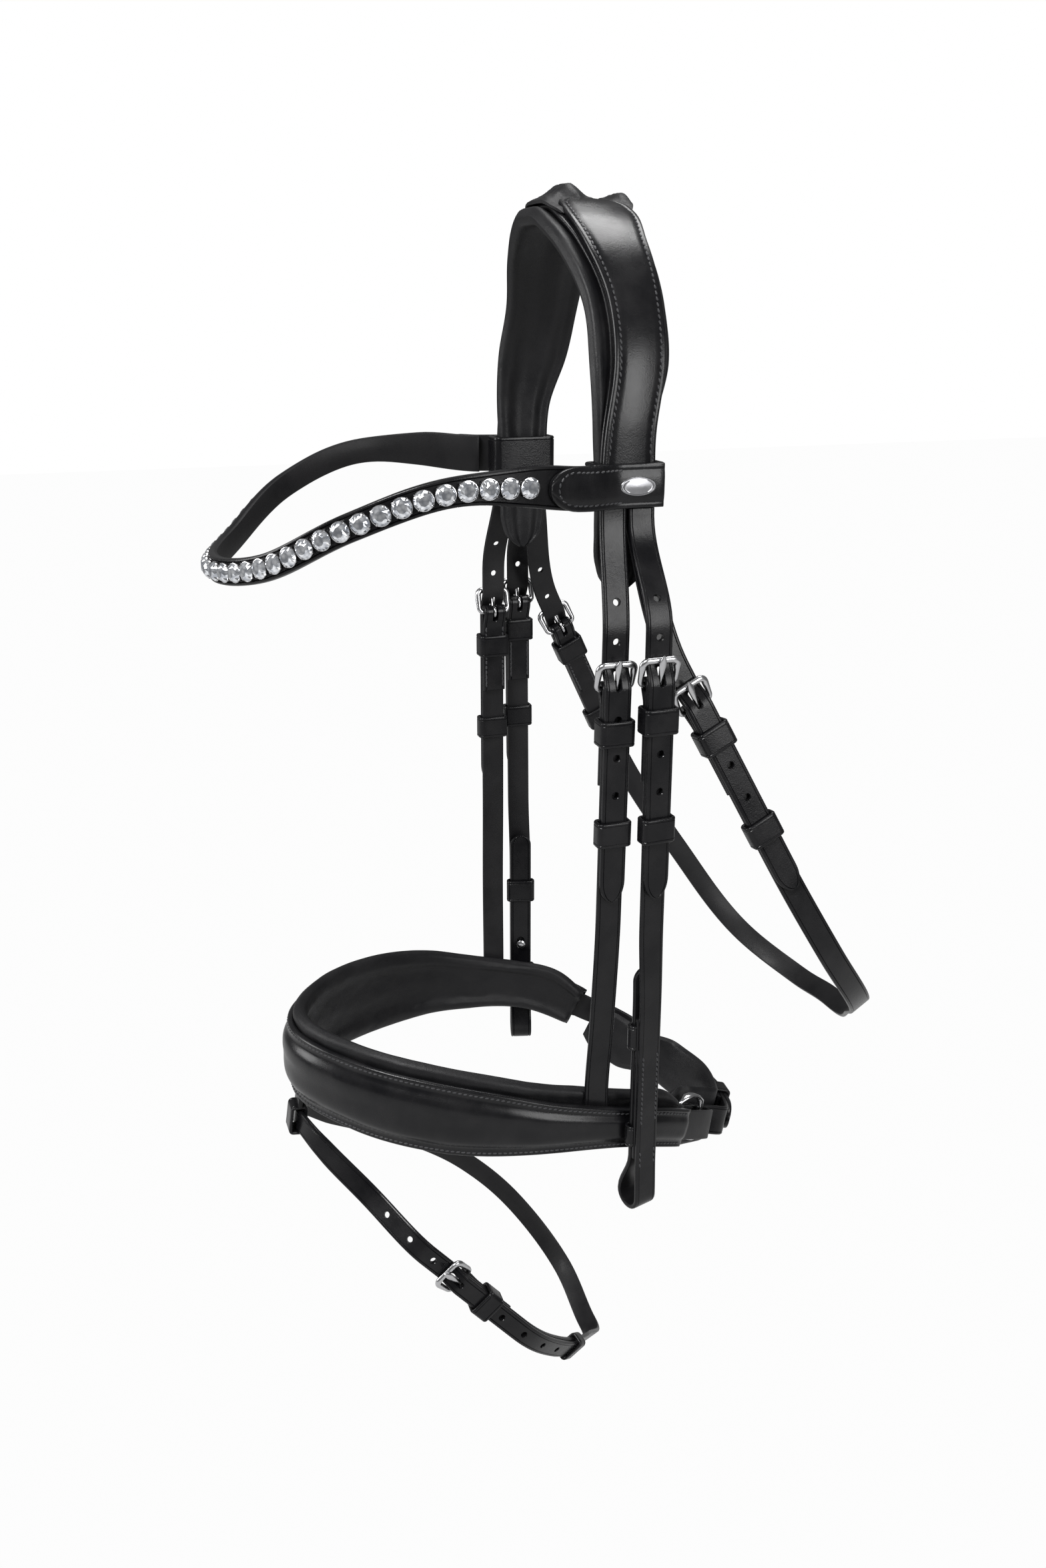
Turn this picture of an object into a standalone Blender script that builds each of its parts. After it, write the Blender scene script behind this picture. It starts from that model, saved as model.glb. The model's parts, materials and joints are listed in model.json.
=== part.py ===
"""Snaffle bridle with a crank noseband, a flash strap and a jewelled browband.

Lengths are in millimetres and meshes in metres.  +X is the horse's left side,
-Y is the front (nose), +Z is up.  The origin is on the underside of the poll
pad, where the bridle hangs.

Every strap is cut flat as a blank, with its holes, and is then laid along a
route in space.  A route gives, at each distance s, the strap's direction, its
width direction and its outward direction.  A side path says how the layers of
leather run past each other in the plane of s and the outward direction n.
"""

import math

import bmesh
import bpy
import numpy as np
from mathutils import Matrix, Vector

MM = 0.001
COLLECTION = "snaffle_bridle"

# Leather
STRAP_WIDTH = 14.0
LEATHER = 2.6
GAP = 0.3
LAYER = LEATHER + GAP
HOLE_R = 1.8
HOLE_PITCH = 19.8

# Buckles
BAR_R = 1.4
BUCKLE_PITCH = 13.0
BUCKLE_CLEARANCE = 0.9
PRONG_R = 1.1
FOLD_R = BAR_R + GAP + LEATHER / 2
TURN_BACK = 50.0
TIP_LENGTH = 113.0
SLOT_HALF = 2.9
PRONG_SLOT_R = PRONG_R + 0.6

# Keepers
KEEPER_LENGTH = 13.5
KEEPER_WALL = 1.8
KEEPER_PLAY = 0.5
FIXED_KEEPER_AT = 20.0
RUNNING_KEEPER_AT = 75.0

# Headpiece
LEG_X = 76.9
LEG_Z = -95.0
POLL_PAD = 5.0
CROWN_END_Z = -124.7
BILLET_X = LEG_X + LAYER
BILLET_SPREAD = 7.5
ROOT_Z = -132.0
OVERLAY_END_Z = -131.5

# Browband
BROW_HEIGHT = 13.5
BROW_THICK = 4.6
LOOP_HEIGHT = 21.0
LOOP_Z = -121.0
LOOP_WALL = 2.4
LOOP_INNER_Y = 15.9
LOOP_PLAY_IN = 0.4
LOOP_INNER_X = LEG_X - LEATHER / 2 - GAP - POLL_PAD - LOOP_PLAY_IN
LOOP_PLAY_OUT = 0.6
LOOP_OUTER_X = LEG_X + LAYER + LEATHER / 2 + LOOP_PLAY_OUT
LOOP_CENTRE_Y = 0.5
BAND_END_Y = -22.0
TAB_BACK_Y = 17.0
TAB_LENGTH = 66.0
TAB_THICK = 2.4
STONE_R = 4.6
STONE_PITCH = 9.9
STONE_COUNT = 20
STONE_RISE = 3.4

# Bit cheekpieces
BIT_LOOP_R = 7.4
BIT_BOTTOM_Z = -521.5
BIT_TIP_Z = -372.0
BIT_STUD_Z = -451.0
BIT_KEEPER_Z = -412.0

# Noseband
PANEL_THICK = 5.0
NOSE_SIDE_X = 95.8
BIT_CLEARANCE = 0.8
BIT_X = NOSE_SIDE_X + PANEL_THICK / 2 + BIT_CLEARANCE + LEATHER / 2 + 2 * LAYER
PAD_THICK = 6.0
HANGER_END_Z = -476.0

# Crank and chin
CHIN_WIDTH = 18.0
CHIN_TIP = 52.0
CHIN_BAR_S = -12.0
TURN_R = 5.9
TURN_S = 77.0
DEE_REAR_S = 79.0
DEE_FRONT_S = 100.0
CHIN_PAD_THICK = 5.0

# Flash
FLASH_WIDTH = 12.5
FLASH_BAR_Z = -571.0
FLASH_TIP = 130.0
FLASH_END_KEEPER = 119.0
CARRIER_LENGTH = 12.0
CARRIER_TAB = 5.0

LEATHER_BLACK = ("leather_black", (0.012, 0.012, 0.013), 0.32, 0.0)
PAD_BLACK = ("soft_pad_black", (0.016, 0.016, 0.018), 0.55, 0.0)
STEEL = ("stainless_steel", (0.78, 0.78, 0.80), 0.18, 1.0)
STONES = ("clear_stones", (0.85, 0.88, 0.92), 0.08, 0.2)


# ---------------------------------------------------------------- scene tools

def clear_scene():
    """Remove every object, so that the script starts from nothing."""
    for obj in list(bpy.data.objects):
        bpy.data.objects.remove(obj, do_unlink=True)


def material(spec):
    """Return the Principled material that a finish describes."""
    name, colour, roughness, metallic = spec
    found = bpy.data.materials.get(name)
    if found:
        return found
    made = bpy.data.materials.new(name)
    made.use_nodes = True
    shader = made.node_tree.nodes["Principled BSDF"]
    shader.inputs["Base Color"].default_value = (*colour, 1.0)
    shader.inputs["Roughness"].default_value = roughness
    shader.inputs["Metallic"].default_value = metallic
    made.diffuse_color = (*colour, 1.0)
    return made


def collection():
    """Return the collection that holds the bridle's pieces."""
    found = bpy.data.collections.get(COLLECTION)
    if not found:
        found = bpy.data.collections.new(COLLECTION)
        bpy.context.scene.collection.children.link(found)
    return found


def add_node(name, bm, finish, pivot=(0.0, 0.0, 0.0)):
    """Make a named object, in metres, from a bmesh that is in millimetres."""
    origin = Vector(pivot)
    bmesh.ops.translate(bm, verts=bm.verts, vec=-origin)
    bmesh.ops.scale(bm, verts=bm.verts, vec=(MM, MM, MM))
    bmesh.ops.recalc_face_normals(bm, faces=bm.faces)
    mesh = bpy.data.meshes.new(name)
    bm.to_mesh(mesh)
    bm.free()
    obj = bpy.data.objects.new(name, mesh)
    obj.location = origin * MM
    collection().objects.link(obj)
    obj.data.materials.append(material(finish))
    mesh.shade_smooth()
    mesh.set_sharp_from_angle(angle=math.radians(40))
    return obj


def mirrored(bm):
    """Return a copy of a bmesh on the other side of the bridle."""
    copy = bm.copy()
    bmesh.ops.scale(copy, verts=copy.verts, vec=(-1, 1, 1))
    bmesh.ops.reverse_faces(copy, faces=copy.faces)
    return copy


def add_pair(stem, bm, finish, pivot=(0.0, 0.0, 0.0)):
    """Add a piece of the near side and its mirror image on the far side."""
    x, y, z = pivot
    add_node(stem + "_far", mirrored(bm), finish, (-x, y, z))
    add_node(stem + "_near", bm, finish, pivot)


def curve_bmesh(curve):
    """Evaluate a curve to a welded bmesh and remove the curve."""
    obj = bpy.data.objects.new("blank", curve)
    bpy.context.scene.collection.objects.link(obj)
    graph = bpy.context.evaluated_depsgraph_get()
    mesh = bpy.data.meshes.new_from_object(obj.evaluated_get(graph))
    bm = bmesh.new()
    bm.from_mesh(mesh)
    bmesh.ops.remove_doubles(bm, verts=bm.verts, dist=0.002)
    bpy.data.objects.remove(obj)
    bpy.data.meshes.remove(mesh)
    bpy.data.curves.remove(curve)
    return bm


def flat_plate(outline, holes, thickness):
    """Cut a plate from a closed outline with holes, centred on its own plane."""
    curve = bpy.data.curves.new("outline", "CURVE")
    curve.dimensions = "2D"
    curve.fill_mode = "BOTH"
    curve.extrude = thickness / 2
    for loop in [outline] + holes:
        spline = curve.splines.new("POLY")
        spline.points.add(len(loop) - 1)
        for point, (a, b) in zip(spline.points, loop):
            point.co = (a, b, 0.0, 1.0)
        spline.use_cyclic_u = True
    return curve_bmesh(curve)


def wire(points, radius, closed=False, rings=2):
    """Bend round wire through the points."""
    curve = bpy.data.curves.new("wire", "CURVE")
    curve.dimensions = "3D"
    curve.bevel_depth = radius
    curve.bevel_resolution = rings
    curve.use_fill_caps = not closed
    curve.twist_mode = "MINIMUM"
    spline = curve.splines.new("POLY")
    spline.points.add(len(points) - 1)
    for point, co in zip(spline.points, points):
        point.co = (*co, 1.0)
    spline.use_cyclic_u = closed
    return curve_bmesh(curve)


# ------------------------------------------------------------------- outlines

def arc(centre, radius, start, stop, count):
    """Points on an arc; the angles are in degrees."""
    angles = np.radians(np.linspace(start, stop, count))
    return [(centre[0] + radius * math.cos(a), centre[1] + radius * math.sin(a)) for a in angles]


def slot(centre, half_length, radius):
    """A round hole, or a slot where the half length is over the radius."""
    reach = max(half_length - radius, 0.0)
    if reach < 1e-6:
        return arc((centre, 0.0), radius, 22.5, 337.5, 8)
    right = arc((centre + reach, 0.0), radius, -75, 75, 4)
    left = arc((centre - reach, 0.0), radius, 105, 255, 4)
    return right + left


def rounded_rectangle(half_a, half_b, radius, corner=3):
    """A rectangle with round corners."""
    points = []
    for quarter, (sa, sb) in enumerate([(1, 1), (-1, 1), (-1, -1), (1, -1)]):
        centre = (sa * (half_a - radius), sb * (half_b - radius))
        points += arc(centre, radius, 90 * quarter, 90 * quarter + 90, corner)
    return points


def strap_edges(length, width, start="square", end="square"):
    """A strap's edges as rows of (length, low, high), with shaped ends."""
    half = width / 2
    shapes = {
        "square": [(0.0, 1.0)],
        "round": [(0.04, 0.28), (0.25, 0.66), (0.6, 0.92), (1.0, 1.0)],
        "tip": [(0.05, 0.2), (0.45, 0.7), (0.85, 0.92), (1.4, 1.0)],
    }
    rows = [(along * half, -share * half, share * half) for along, share in shapes[start]]
    last = [(length - along * half, -share * half, share * half) for along, share in shapes[end]]
    return rows + last[::-1]


def smooth_edges(rows, path, step=6.0):
    """Rows at the path's stations, on smooth edges through the rows given."""
    table = np.array(rows, float)
    at = [q for q in stations(path, step) if table[0, 0] + 1 < q < table[-1, 0] - 1]
    at = np.array([table[0, 0]] + at + [table[-1, 0]])
    low = smooth_values(at, table[:, 0], table[:, 1])
    high = smooth_values(at, table[:, 0], table[:, 2])
    return list(zip(at, low, high))


def smooth_values(at, xs, ys):
    """Read a smooth curve through (xs, ys) at the places asked for."""
    xs, ys = np.array(xs, float), np.array(ys, float)
    slope = np.gradient(ys, xs)
    index = np.clip(np.searchsorted(xs, at) - 1, 0, len(xs) - 2)
    span = xs[index + 1] - xs[index]
    t = (at - xs[index]) / span
    return hermite(t, ys[index], ys[index + 1], slope[index] * span, slope[index + 1] * span)


def hermite(t, a, b, slope_a, slope_b):
    """Cubic between two values with given end slopes."""
    return ((2 * t**3 - 3 * t**2 + 1) * a + (t**3 - 2 * t**2 + t) * slope_a
            + (3 * t**2 - 2 * t**3) * b + (t**3 - t**2) * slope_b)


# --------------------------------------------------------------------- routes

class Route:
    """A smooth line in space with a width direction, read by distance."""

    SAMPLES = 24

    def __init__(self, stops, closed=False):
        """stops are (point, width direction, tangent or None)."""
        self.closed = closed
        points = [np.array(stop[0], float) for stop in stops]
        widths = [np.array(stop[1], float) for stop in stops]
        given = [stop[2] if len(stop) > 2 else None for stop in stops]
        if closed:
            points, widths, given = points + points[:1], widths + widths[:1], given + given[:1]
        tangents = self.tangents(points, given)
        line, side = [points[0]], [widths[0]]
        self.marks = [0.0]
        for i in range(len(points) - 1):
            chord = np.linalg.norm(points[i + 1] - points[i])
            for t in np.linspace(0, 1, self.SAMPLES + 1)[1:]:
                line.append(hermite(t, points[i], points[i + 1],
                                    tangents[i] * chord, tangents[i + 1] * chord))
                ease = t * t * (3 - 2 * t)
                side.append(widths[i] * (1 - ease) + widths[i + 1] * ease)
        self.line, self.side = np.array(line), np.array(side)
        steps = np.linalg.norm(np.diff(self.line, axis=0), axis=1)
        self.distance = np.r_[0.0, np.cumsum(steps)]
        self.length = self.distance[-1]
        self.marks = [self.distance[i * self.SAMPLES] for i in range(len(points))]

    def tangents(self, points, given):
        """Unit tangents: the given ones, or a smooth choice from the chords."""
        found, last = [], len(points) - 1
        for i, choice in enumerate(given):
            if choice is not None:
                tangent = np.array(choice, float)
            elif self.closed and i in (0, last):
                tangent = points[1] - points[last - 1]
            elif i in (0, last):
                tangent = points[min(i + 1, last)] - points[max(i - 1, 0)]
            else:
                before, after = points[i] - points[i - 1], points[i + 1] - points[i]
                lb, la = np.linalg.norm(before), np.linalg.norm(after)
                tangent = before / lb * la + after / la * lb
            found.append(tangent / np.linalg.norm(tangent))
        return found

    def frame(self, s):
        """Point, direction, width direction and outward direction at s."""
        if self.closed:
            s = s % self.length
        i = int(np.clip(np.searchsorted(self.distance, s) - 1, 0, len(self.line) - 2))
        step = self.distance[i + 1] - self.distance[i]
        t = (s - self.distance[i]) / step
        point = self.line[i] + (self.line[i + 1] - self.line[i]) * t
        ahead = min(max(i + (1 if t > 0.5 else 0), 1), len(self.line) - 2)
        blend = t - 0.5 if t > 0.5 else t + 0.5
        before = self.line[ahead] - self.line[ahead - 1]
        after = self.line[ahead + 1] - self.line[ahead]
        tangent = before * (1 - blend) + after * blend
        tangent /= np.linalg.norm(tangent)
        width = self.side[i] + (self.side[i + 1] - self.side[i]) * t
        width = width - tangent * (width @ tangent)
        width /= np.linalg.norm(width)
        return point, tangent, width, np.cross(tangent, width)

    def place(self, s, n, v):
        """Point at distance s, n outward and v across the width."""
        point, _, width, out = self.frame(s)
        return point + n * out + v * width

    def nearest_height(self, z):
        """Distance along the route at which it first comes down to height z."""
        below = np.nonzero(self.line[:, 2] <= z)[0]
        i = max(int(below[0]), 1)
        high, low = self.line[i - 1, 2], self.line[i, 2]
        share = (high - z) / (high - low)
        return self.distance[i - 1] + share * (self.distance[i] - self.distance[i - 1])


class SidePath:
    """How one layer runs, as points of (distance s, outward n)."""

    def __init__(self, points):
        self.points = np.array(points, float)
        steps = np.linalg.norm(np.diff(self.points, axis=0), axis=1)
        self.q = np.r_[0.0, np.cumsum(steps)]
        self.length = self.q[-1]
        run = np.diff(self.points, axis=0) / steps[:, None]
        corner = np.vstack([run[:1], run[:-1] + run[1:], run[-1:]])
        self.heading = corner / np.linalg.norm(corner, axis=1)[:, None]

    def at(self, q):
        """Place and heading of the layer's middle at blank length q."""
        s, n = (np.interp(q, self.q, self.points[:, k]) for k in (0, 1))
        if q < 0 or q > self.length:
            end = 0 if q < 0 else -1
            s, n = self.points[end] + self.heading[end] * (q - self.q[end])
        heading = np.array([np.interp(q, self.q, self.heading[:, k]) for k in (0, 1)])
        return s, n, heading / np.linalg.norm(heading)

    def q_at(self, s, first=True):
        """Blank length at which the layer passes distance s."""
        span = range(len(self.q) - 1) if first else range(len(self.q) - 2, -1, -1)
        for i in span:
            a, b = self.points[i, 0], self.points[i + 1, 0]
            if min(a, b) <= s <= max(a, b) and a != b:
                return self.q[i] + (s - a) / (b - a) * (self.q[i + 1] - self.q[i])
        raise ValueError("the layer does not pass there")


def ease_between(s0, n0, s1, n1, count=6):
    """Points of a soft step from one level to another."""
    share = np.linspace(0, 1, count)
    return [(s0 + (s1 - s0) * t, n0 + (n1 - n0) * t * t * (3 - 2 * t)) for t in share]


def stations(path, step, extra=()):
    """Blank lengths at which a strap can bend."""
    even = np.arange(step, path.length, step)
    bends = list(path.q[1:-1]) + list(extra)
    cuts = sorted(bends)
    for q in even:
        if all(abs(q - other) > 0.45 * step for other in bends):
            cuts.append(q)
    cuts = sorted(cuts)
    kept = [q for i, q in enumerate(cuts) if i == 0 or q - cuts[i - 1] > 0.15]
    return kept


def punched(bm, holes, thickness):
    """Punch holes through a flat blank."""
    punch = flat_plate(holes[0], [], 3 * thickness)
    for hole in holes[1:]:
        one = flat_plate(hole, [], 3 * thickness)
        spare = bpy.data.meshes.new("punch")
        one.to_mesh(spare)
        one.free()
        punch.from_mesh(spare)
        bpy.data.meshes.remove(spare)
    pieces = []
    for name, source in (("blank", bm), ("punch", punch)):
        bmesh.ops.recalc_face_normals(source, faces=source.faces)
        mesh = bpy.data.meshes.new(name)
        source.to_mesh(mesh)
        source.free()
        pieces.append(bpy.data.objects.new(name, mesh))
        bpy.context.scene.collection.objects.link(pieces[-1])
    blank, tool = pieces
    cut = blank.modifiers.new("holes", "BOOLEAN")
    cut.operation = "DIFFERENCE"
    cut.solver = "EXACT"
    cut.object = tool
    graph = bpy.context.evaluated_depsgraph_get()
    mesh = bpy.data.meshes.new_from_object(blank.evaluated_get(graph))
    result = bmesh.new()
    result.from_mesh(mesh)
    bmesh.ops.remove_doubles(result, verts=result.verts, dist=0.02)
    bmesh.ops.dissolve_degenerate(result, edges=result.edges, dist=0.01)
    for obj in pieces:
        bpy.data.objects.remove(obj)
    return result


def strip(rows, path, thickness, step):
    """A flat blank with a crease at each station, from a shaped grid."""
    table = np.array(rows, float)
    ends = table[:, 0]
    creases = [q for q in stations(path, step) if np.min(np.abs(ends - q)) > 0.6]
    creases = [q for q in creases if ends[0] < q < ends[-1]]
    at = np.sort(np.r_[ends, creases])
    low, high = (np.interp(at, ends, table[:, k]) for k in (1, 2))
    bm = bmesh.new()
    bmesh.ops.create_grid(bm, x_segments=len(at) - 1, y_segments=1, size=1.0)
    for vert in bm.verts:
        column = int(round((vert.co.x + 1) / 2 * (len(at) - 1)))
        vert.co = (at[column], high[column] if vert.co.y > 0 else low[column], -thickness / 2)
    grown = bmesh.ops.extrude_face_region(bm, geom=bm.faces[:], use_keep_orig=True)
    lifted = [item for item in grown["geom"] if isinstance(item, bmesh.types.BMVert)]
    bmesh.ops.translate(bm, verts=lifted, vec=(0, 0, thickness))
    return bm


def lay(route, path, rows, holes, thickness, step=9.0):
    """Cut a blank, punch its holes and lay it along its route."""
    bm = strip(rows, path, thickness, step)
    if holes:
        bm = punched(bm, holes, thickness)
    bmesh.ops.triangulate(bm, faces=[f for f in bm.faces if len(f.verts) > 3])
    for vert in bm.verts:
        q, v, t = vert.co
        s, n, heading = path.at(q)
        s, n = s - heading[1] * t, n + heading[0] * t
        vert.co = route.place(s, n, v)
    return bm


# ------------------------------------------------------------ buckle assembly

class BuckleSet:
    """The layers and metal at one buckle, placed by its hinge bar."""

    def __init__(self, route, bar_s, width=STRAP_WIDTH, tip=TIP_LENGTH, turn_back=TURN_BACK):
        self.route, self.bar_s, self.width = route, bar_s, width
        self.tip, self.turn_back = tip, turn_back
        self.bar_n = -FOLD_R
        self.top_n = LAYER - FOLD_R + 1.1
        self.under_n = self.top_n - BAR_R - GAP - LEATHER / 2
        self.prong_s = bar_s - 5.0

    def strap_path(self, end_points):
        """Turn-back, fold round the hinge bar, then the strap itself."""
        s = self.bar_s
        back = [(s + self.turn_back, -LAYER)]
        back += ease_between(s + 10.0, -LAYER, s, -2 * FOLD_R, 6)
        fold = [(s - FOLD_R * math.sin(a), -FOLD_R - FOLD_R * math.cos(a))
                for a in np.radians([30, 60, 90, 120, 150])]
        return SidePath(back + fold + [(s, 0.0)] + end_points)

    def fold_slot(self, path):
        """The slot in the fold that lets the prong swing."""
        first = path.q_at(self.bar_s + 5.2)
        last = path.q_at(self.bar_s + 4.8, first=False)
        return slot((first + last) / 2, (last - first) / 2, PRONG_SLOT_R)

    def billet_points(self, start_s):
        """The billet behind the top bar, then over the hinge bar to its tip."""
        s = self.bar_s
        points = [(start_s, self.under_n), (s - BUCKLE_PITCH - 4.0, self.under_n)]
        points += ease_between(s - BUCKLE_PITCH + 0.6, self.under_n, s - 0.4, LAYER, 7)
        return points + [(s + self.tip, LAYER)]

    def billet_holes(self, path, above, below, first=True):
        """The hole in use, lengthened for the prong, and the spare holes."""
        used = path.q_at(self.prong_s, first)
        holes = [slot(used, PRONG_SLOT_R + SLOT_HALF, PRONG_SLOT_R)]
        for k in list(range(-above, 0)) + list(range(1, below + 1)):
            holes.append(slot(used + k * HOLE_PITCH, 0.0, HOLE_R))
        return holes

    def local(self, u, n, v=0.0):
        """Point u past the hinge bar, n out from the strap, v across."""
        point, along, width, out = self.route.frame(self.bar_s)
        return point + along * u + out * n + width * v

    def pivot(self):
        """Middle of the hinge bar."""
        return tuple(self.local(0.0, self.bar_n))

    def frame_mesh(self):
        """The rectangular wire frame."""
        half = self.width / 2 + BUCKLE_CLEARANCE + BAR_R
        rise = self.top_n - self.bar_n
        slope = math.hypot(BUCKLE_PITCH, rise)
        loop = rounded_rectangle(half, slope / 2, 2.2, 3)
        points = []
        for v, along in loop:
            share = (slope / 2 - along) / slope
            points.append(self.local(-BUCKLE_PITCH * share, self.bar_n + rise * share, v))
        return wire(points, BAR_R, closed=True)

    def prong_mesh(self):
        """Wire bent round the hinge bar, with its tip on the top bar."""
        ring = BAR_R + GAP + PRONG_R
        rest = self.top_n - self.bar_n + BAR_R + GAP + PRONG_R
        tilt = 0.0
        for _ in range(30):
            reach = BUCKLE_PITCH + ring * math.sin(tilt)
            tilt = math.atan((rest - ring * math.cos(tilt)) / reach)
        leave = math.pi / 2 - tilt
        turn = leave - np.radians(np.linspace(295, 0, 10))
        flat = [(ring * math.cos(a), ring * math.sin(a)) for a in turn]
        foot = flat[-1]
        reach = BUCKLE_PITCH + ring * math.sin(tilt) + BAR_R + 1.2
        for share in (0.35, 0.7, 1.0):
            along = reach * share
            flat.append((foot[0] - along, foot[1] + along * math.tan(tilt)))
        points = [self.local(u, self.bar_n + n) for u, n in flat]
        return wire(points, PRONG_R, rings=1)

    def keeper_mesh(self, at, low_n, high_n, length=KEEPER_LENGTH, slack=0.0):
        """A leather loop round the layers between two levels."""
        return keeper(self.route, self.bar_s + at, low_n, high_n, self.width, length, slack)


def keeper(route, s, low_n, high_n, width, length=KEEPER_LENGTH, slack=0.0):
    """A leather loop round a stack of straps."""
    half_v = width / 2 + KEEPER_PLAY
    half_n = (high_n - low_n) / 2 + GAP + slack
    outer = rounded_rectangle(half_v + KEEPER_WALL, half_n + KEEPER_WALL, 1.6)
    inner = rounded_rectangle(half_v, half_n, 0.5, 2)
    bm = flat_plate(outer, [inner], length)
    point, along, side, out = route.frame(s)
    middle = point + out * (low_n + high_n) / 2
    turn = Matrix([[side[i], out[i], -along[i], middle[i]] for i in range(3)] + [[0, 0, 0, 1]])
    bmesh.ops.transform(bm, matrix=turn, verts=bm.verts)
    return bm


def low_of(n):
    """Inner face of a leather layer at level n."""
    return n - LEATHER / 2


def high_of(n):
    """Outer face of a leather layer at level n."""
    return n + LEATHER / 2


# --------------------------------------------------------------------- routes

BACK = (0.0, 1.0, 0.0)
UP = (0.0, 0.0, 1.0)
DOWN = (0.0, 0.0, -1.0)
FORWARD = (0.0, -1.0, 0.0)


def unit(a, b):
    """Direction from a to b."""
    run = np.array(b, float) - np.array(a, float)
    return tuple(run / np.linalg.norm(run))


def crown_route():
    """From inside the near loop, over the poll, to inside the far loop."""
    top = POLL_PAD + GAP + LEATHER / 2
    near = [((LEG_X, 0, CROWN_END_Z), FORWARD, UP), ((LEG_X, 0, LEG_Z), FORWARD, UP),
            ((72.5, 0, -66.0), FORWARD), ((63.5, 0, -43.0), FORWARD),
            ((49.0, 0, -19.5), FORWARD), ((26.0, 0, -0.5), FORWARD)]
    poll = [((8.0, 0, top), FORWARD, (-1, 0, 0)), ((-8.0, 0, top), FORWARD, (-1, 0, 0))]
    far = [((-p[0], p[1], p[2]), FORWARD) for p, *_ in reversed(near[2:])]
    far += [((-LEG_X, 0, LEG_Z), FORWARD, DOWN), ((-LEG_X, 0, CROWN_END_Z), FORWARD, DOWN)]
    return Route(near + poll + far)


def hanger_route():
    """Centre line of the near noseband hanger, from its root down."""
    x, y = BILLET_X + 2.0, -BILLET_SPREAD + 0.5
    high, low = (98.0, -10.6, -192.0), (97.0, -11.6, -338.0)
    return Route([((x, y, ROOT_Z + STRAP_WIDTH / 2), BACK, DOWN), ((x, y, ROOT_Z - 1), BACK, DOWN),
                  (high, BACK, unit(high, low)), (low, BACK, unit(high, low)),
                  ((94.6, -13.0, -405.0), BACK), ((91.2, -14.0, -455.0), BACK, DOWN),
                  ((91.2, -14.0, -490.0), BACK, DOWN)])


def bit_route():
    """Centre line of the near bit cheekpiece, from its root to its loop."""
    x, y = BILLET_X + 2.0, BILLET_SPREAD + 0.5
    high, low = (107.0, 8.3, -188.0), (BIT_X, 9.0, -345.0)
    turned = (-0.27, 0.96, 0.0)
    return Route([((x, y, ROOT_Z - 0.2), BACK, DOWN), ((x, y, ROOT_Z - 2), BACK, DOWN),
                  (high, BACK, unit(high, low)), (low, (-0.1, 0.99, 0.0), unit(high, low)),
                  ((BIT_X, 10.2, -395.0), turned, DOWN), ((BIT_X, 10.2, -560.0), turned, DOWN)])


def throat_route():
    """The whole throatlatch line, from the near root to the far root."""
    lean = unit((0, 0, 0), (0.0, 0.29, -0.957))
    root = np.array((LEG_X + 2.0, 5.0, ROOT_Z))
    start = tuple(root - np.array(lean) * STRAP_WIDTH / 2)
    high, low = (95.5, 24.6, -212.0), (113.0, 76.0, -312.0)
    slant = (0.0, 0.95, 0.3)
    near = [(start, slant, lean), (tuple(root + np.array(lean) * 2.0), slant, lean),
            (high, slant, unit(high, low)), (low, slant, unit(high, low))]
    far = []
    for point, width, tangent in reversed(near):
        flipped = (tangent[0], -tangent[1], -tangent[2])
        far.append(((-point[0], point[1], point[2]), width, flipped))
    sag = [((118.5, 112.0, -374.0), (0, 0.9, 0.4)), ((103.0, 142.0, -413.0), (0, 0.85, 0.5)),
           ((60.0, 171.0, -446.0), (0, 0.8, 0.6)), ((0.0, 196.0, -477.0), (0, 0.75, 0.66), (-1, 0, 0)),
           ((-50.0, 198.0, -484.0), (0, 0.8, 0.6)), ((-90.0, 176.0, -466.0), (0, 0.85, 0.5)),
           ((-115.0, 133.0, -404.0), (0, 0.9, 0.4))]
    return Route(near + sag + far)


def brow_route():
    """The browband's line, from the far loop round the brow to the near loop."""
    x = LOOP_OUTER_X + LOOP_WALL + BROW_THICK / 2 + GAP
    wall = LOOP_OUTER_X + LOOP_WALL - BROW_THICK / 2
    near = [((50.0, -171.0, -156.0), UP), ((84.0, -137.0, -134.0), UP), ((97.5, -95.0, -119.0), UP),
            ((96.0, -56.0, -118.0), UP), ((x - 0.6, BAND_END_Y, LOOP_Z), UP, (-0.2, 1, 0)),
            ((wall, -6.0, LOOP_Z), UP, (0, 1, 0)), ((wall, TAB_BACK_Y, LOOP_Z), UP, (0, 1, 0))]
    far = []
    for point, width, *tangent in reversed(near):
        flipped = [(tangent[0][0], -tangent[0][1], 0)] if tangent else []
        far.append(((-point[0], point[1], point[2]), width, *flipped))
    return Route(far + [((0.0, -189.0, -163.0), UP, (1, 0, 0))] + near)


def nose_route():
    """The closed noseband line: chin, near side, front, far side, chin."""
    down = (0.0, 0.0, -1.0)
    chin_down = (0.0, -0.25, -0.97)
    near = [((32.0, 99.0, -527.0), chin_down), ((60.0, 80.0, -512.0), down),
            ((81.0, 49.0, -493.5), down), ((93.5, 14.0, -477.0), down),
            ((NOSE_SIDE_X, -14.0, -469.0), down), ((93.0, -55.0, -461.0), down),
            ((79.0, -100.0, -454.5), down), ((48.0, -143.0, -449.0), down)]
    front = [((0.0, -166.0, -448.0), down, (-1, 0, 0))]
    sag = -3.0
    far = [((-p[0], p[1], p[2] + sag), w) for p, w in reversed(near[2:])]
    far += [((-p[0], p[1], p[2]), w) for p, w in reversed(near[:2])]
    return Route([((0.0, 106.0, -531.0), chin_down, (1, 0, 0))] + near + front + far, closed=True)


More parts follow.
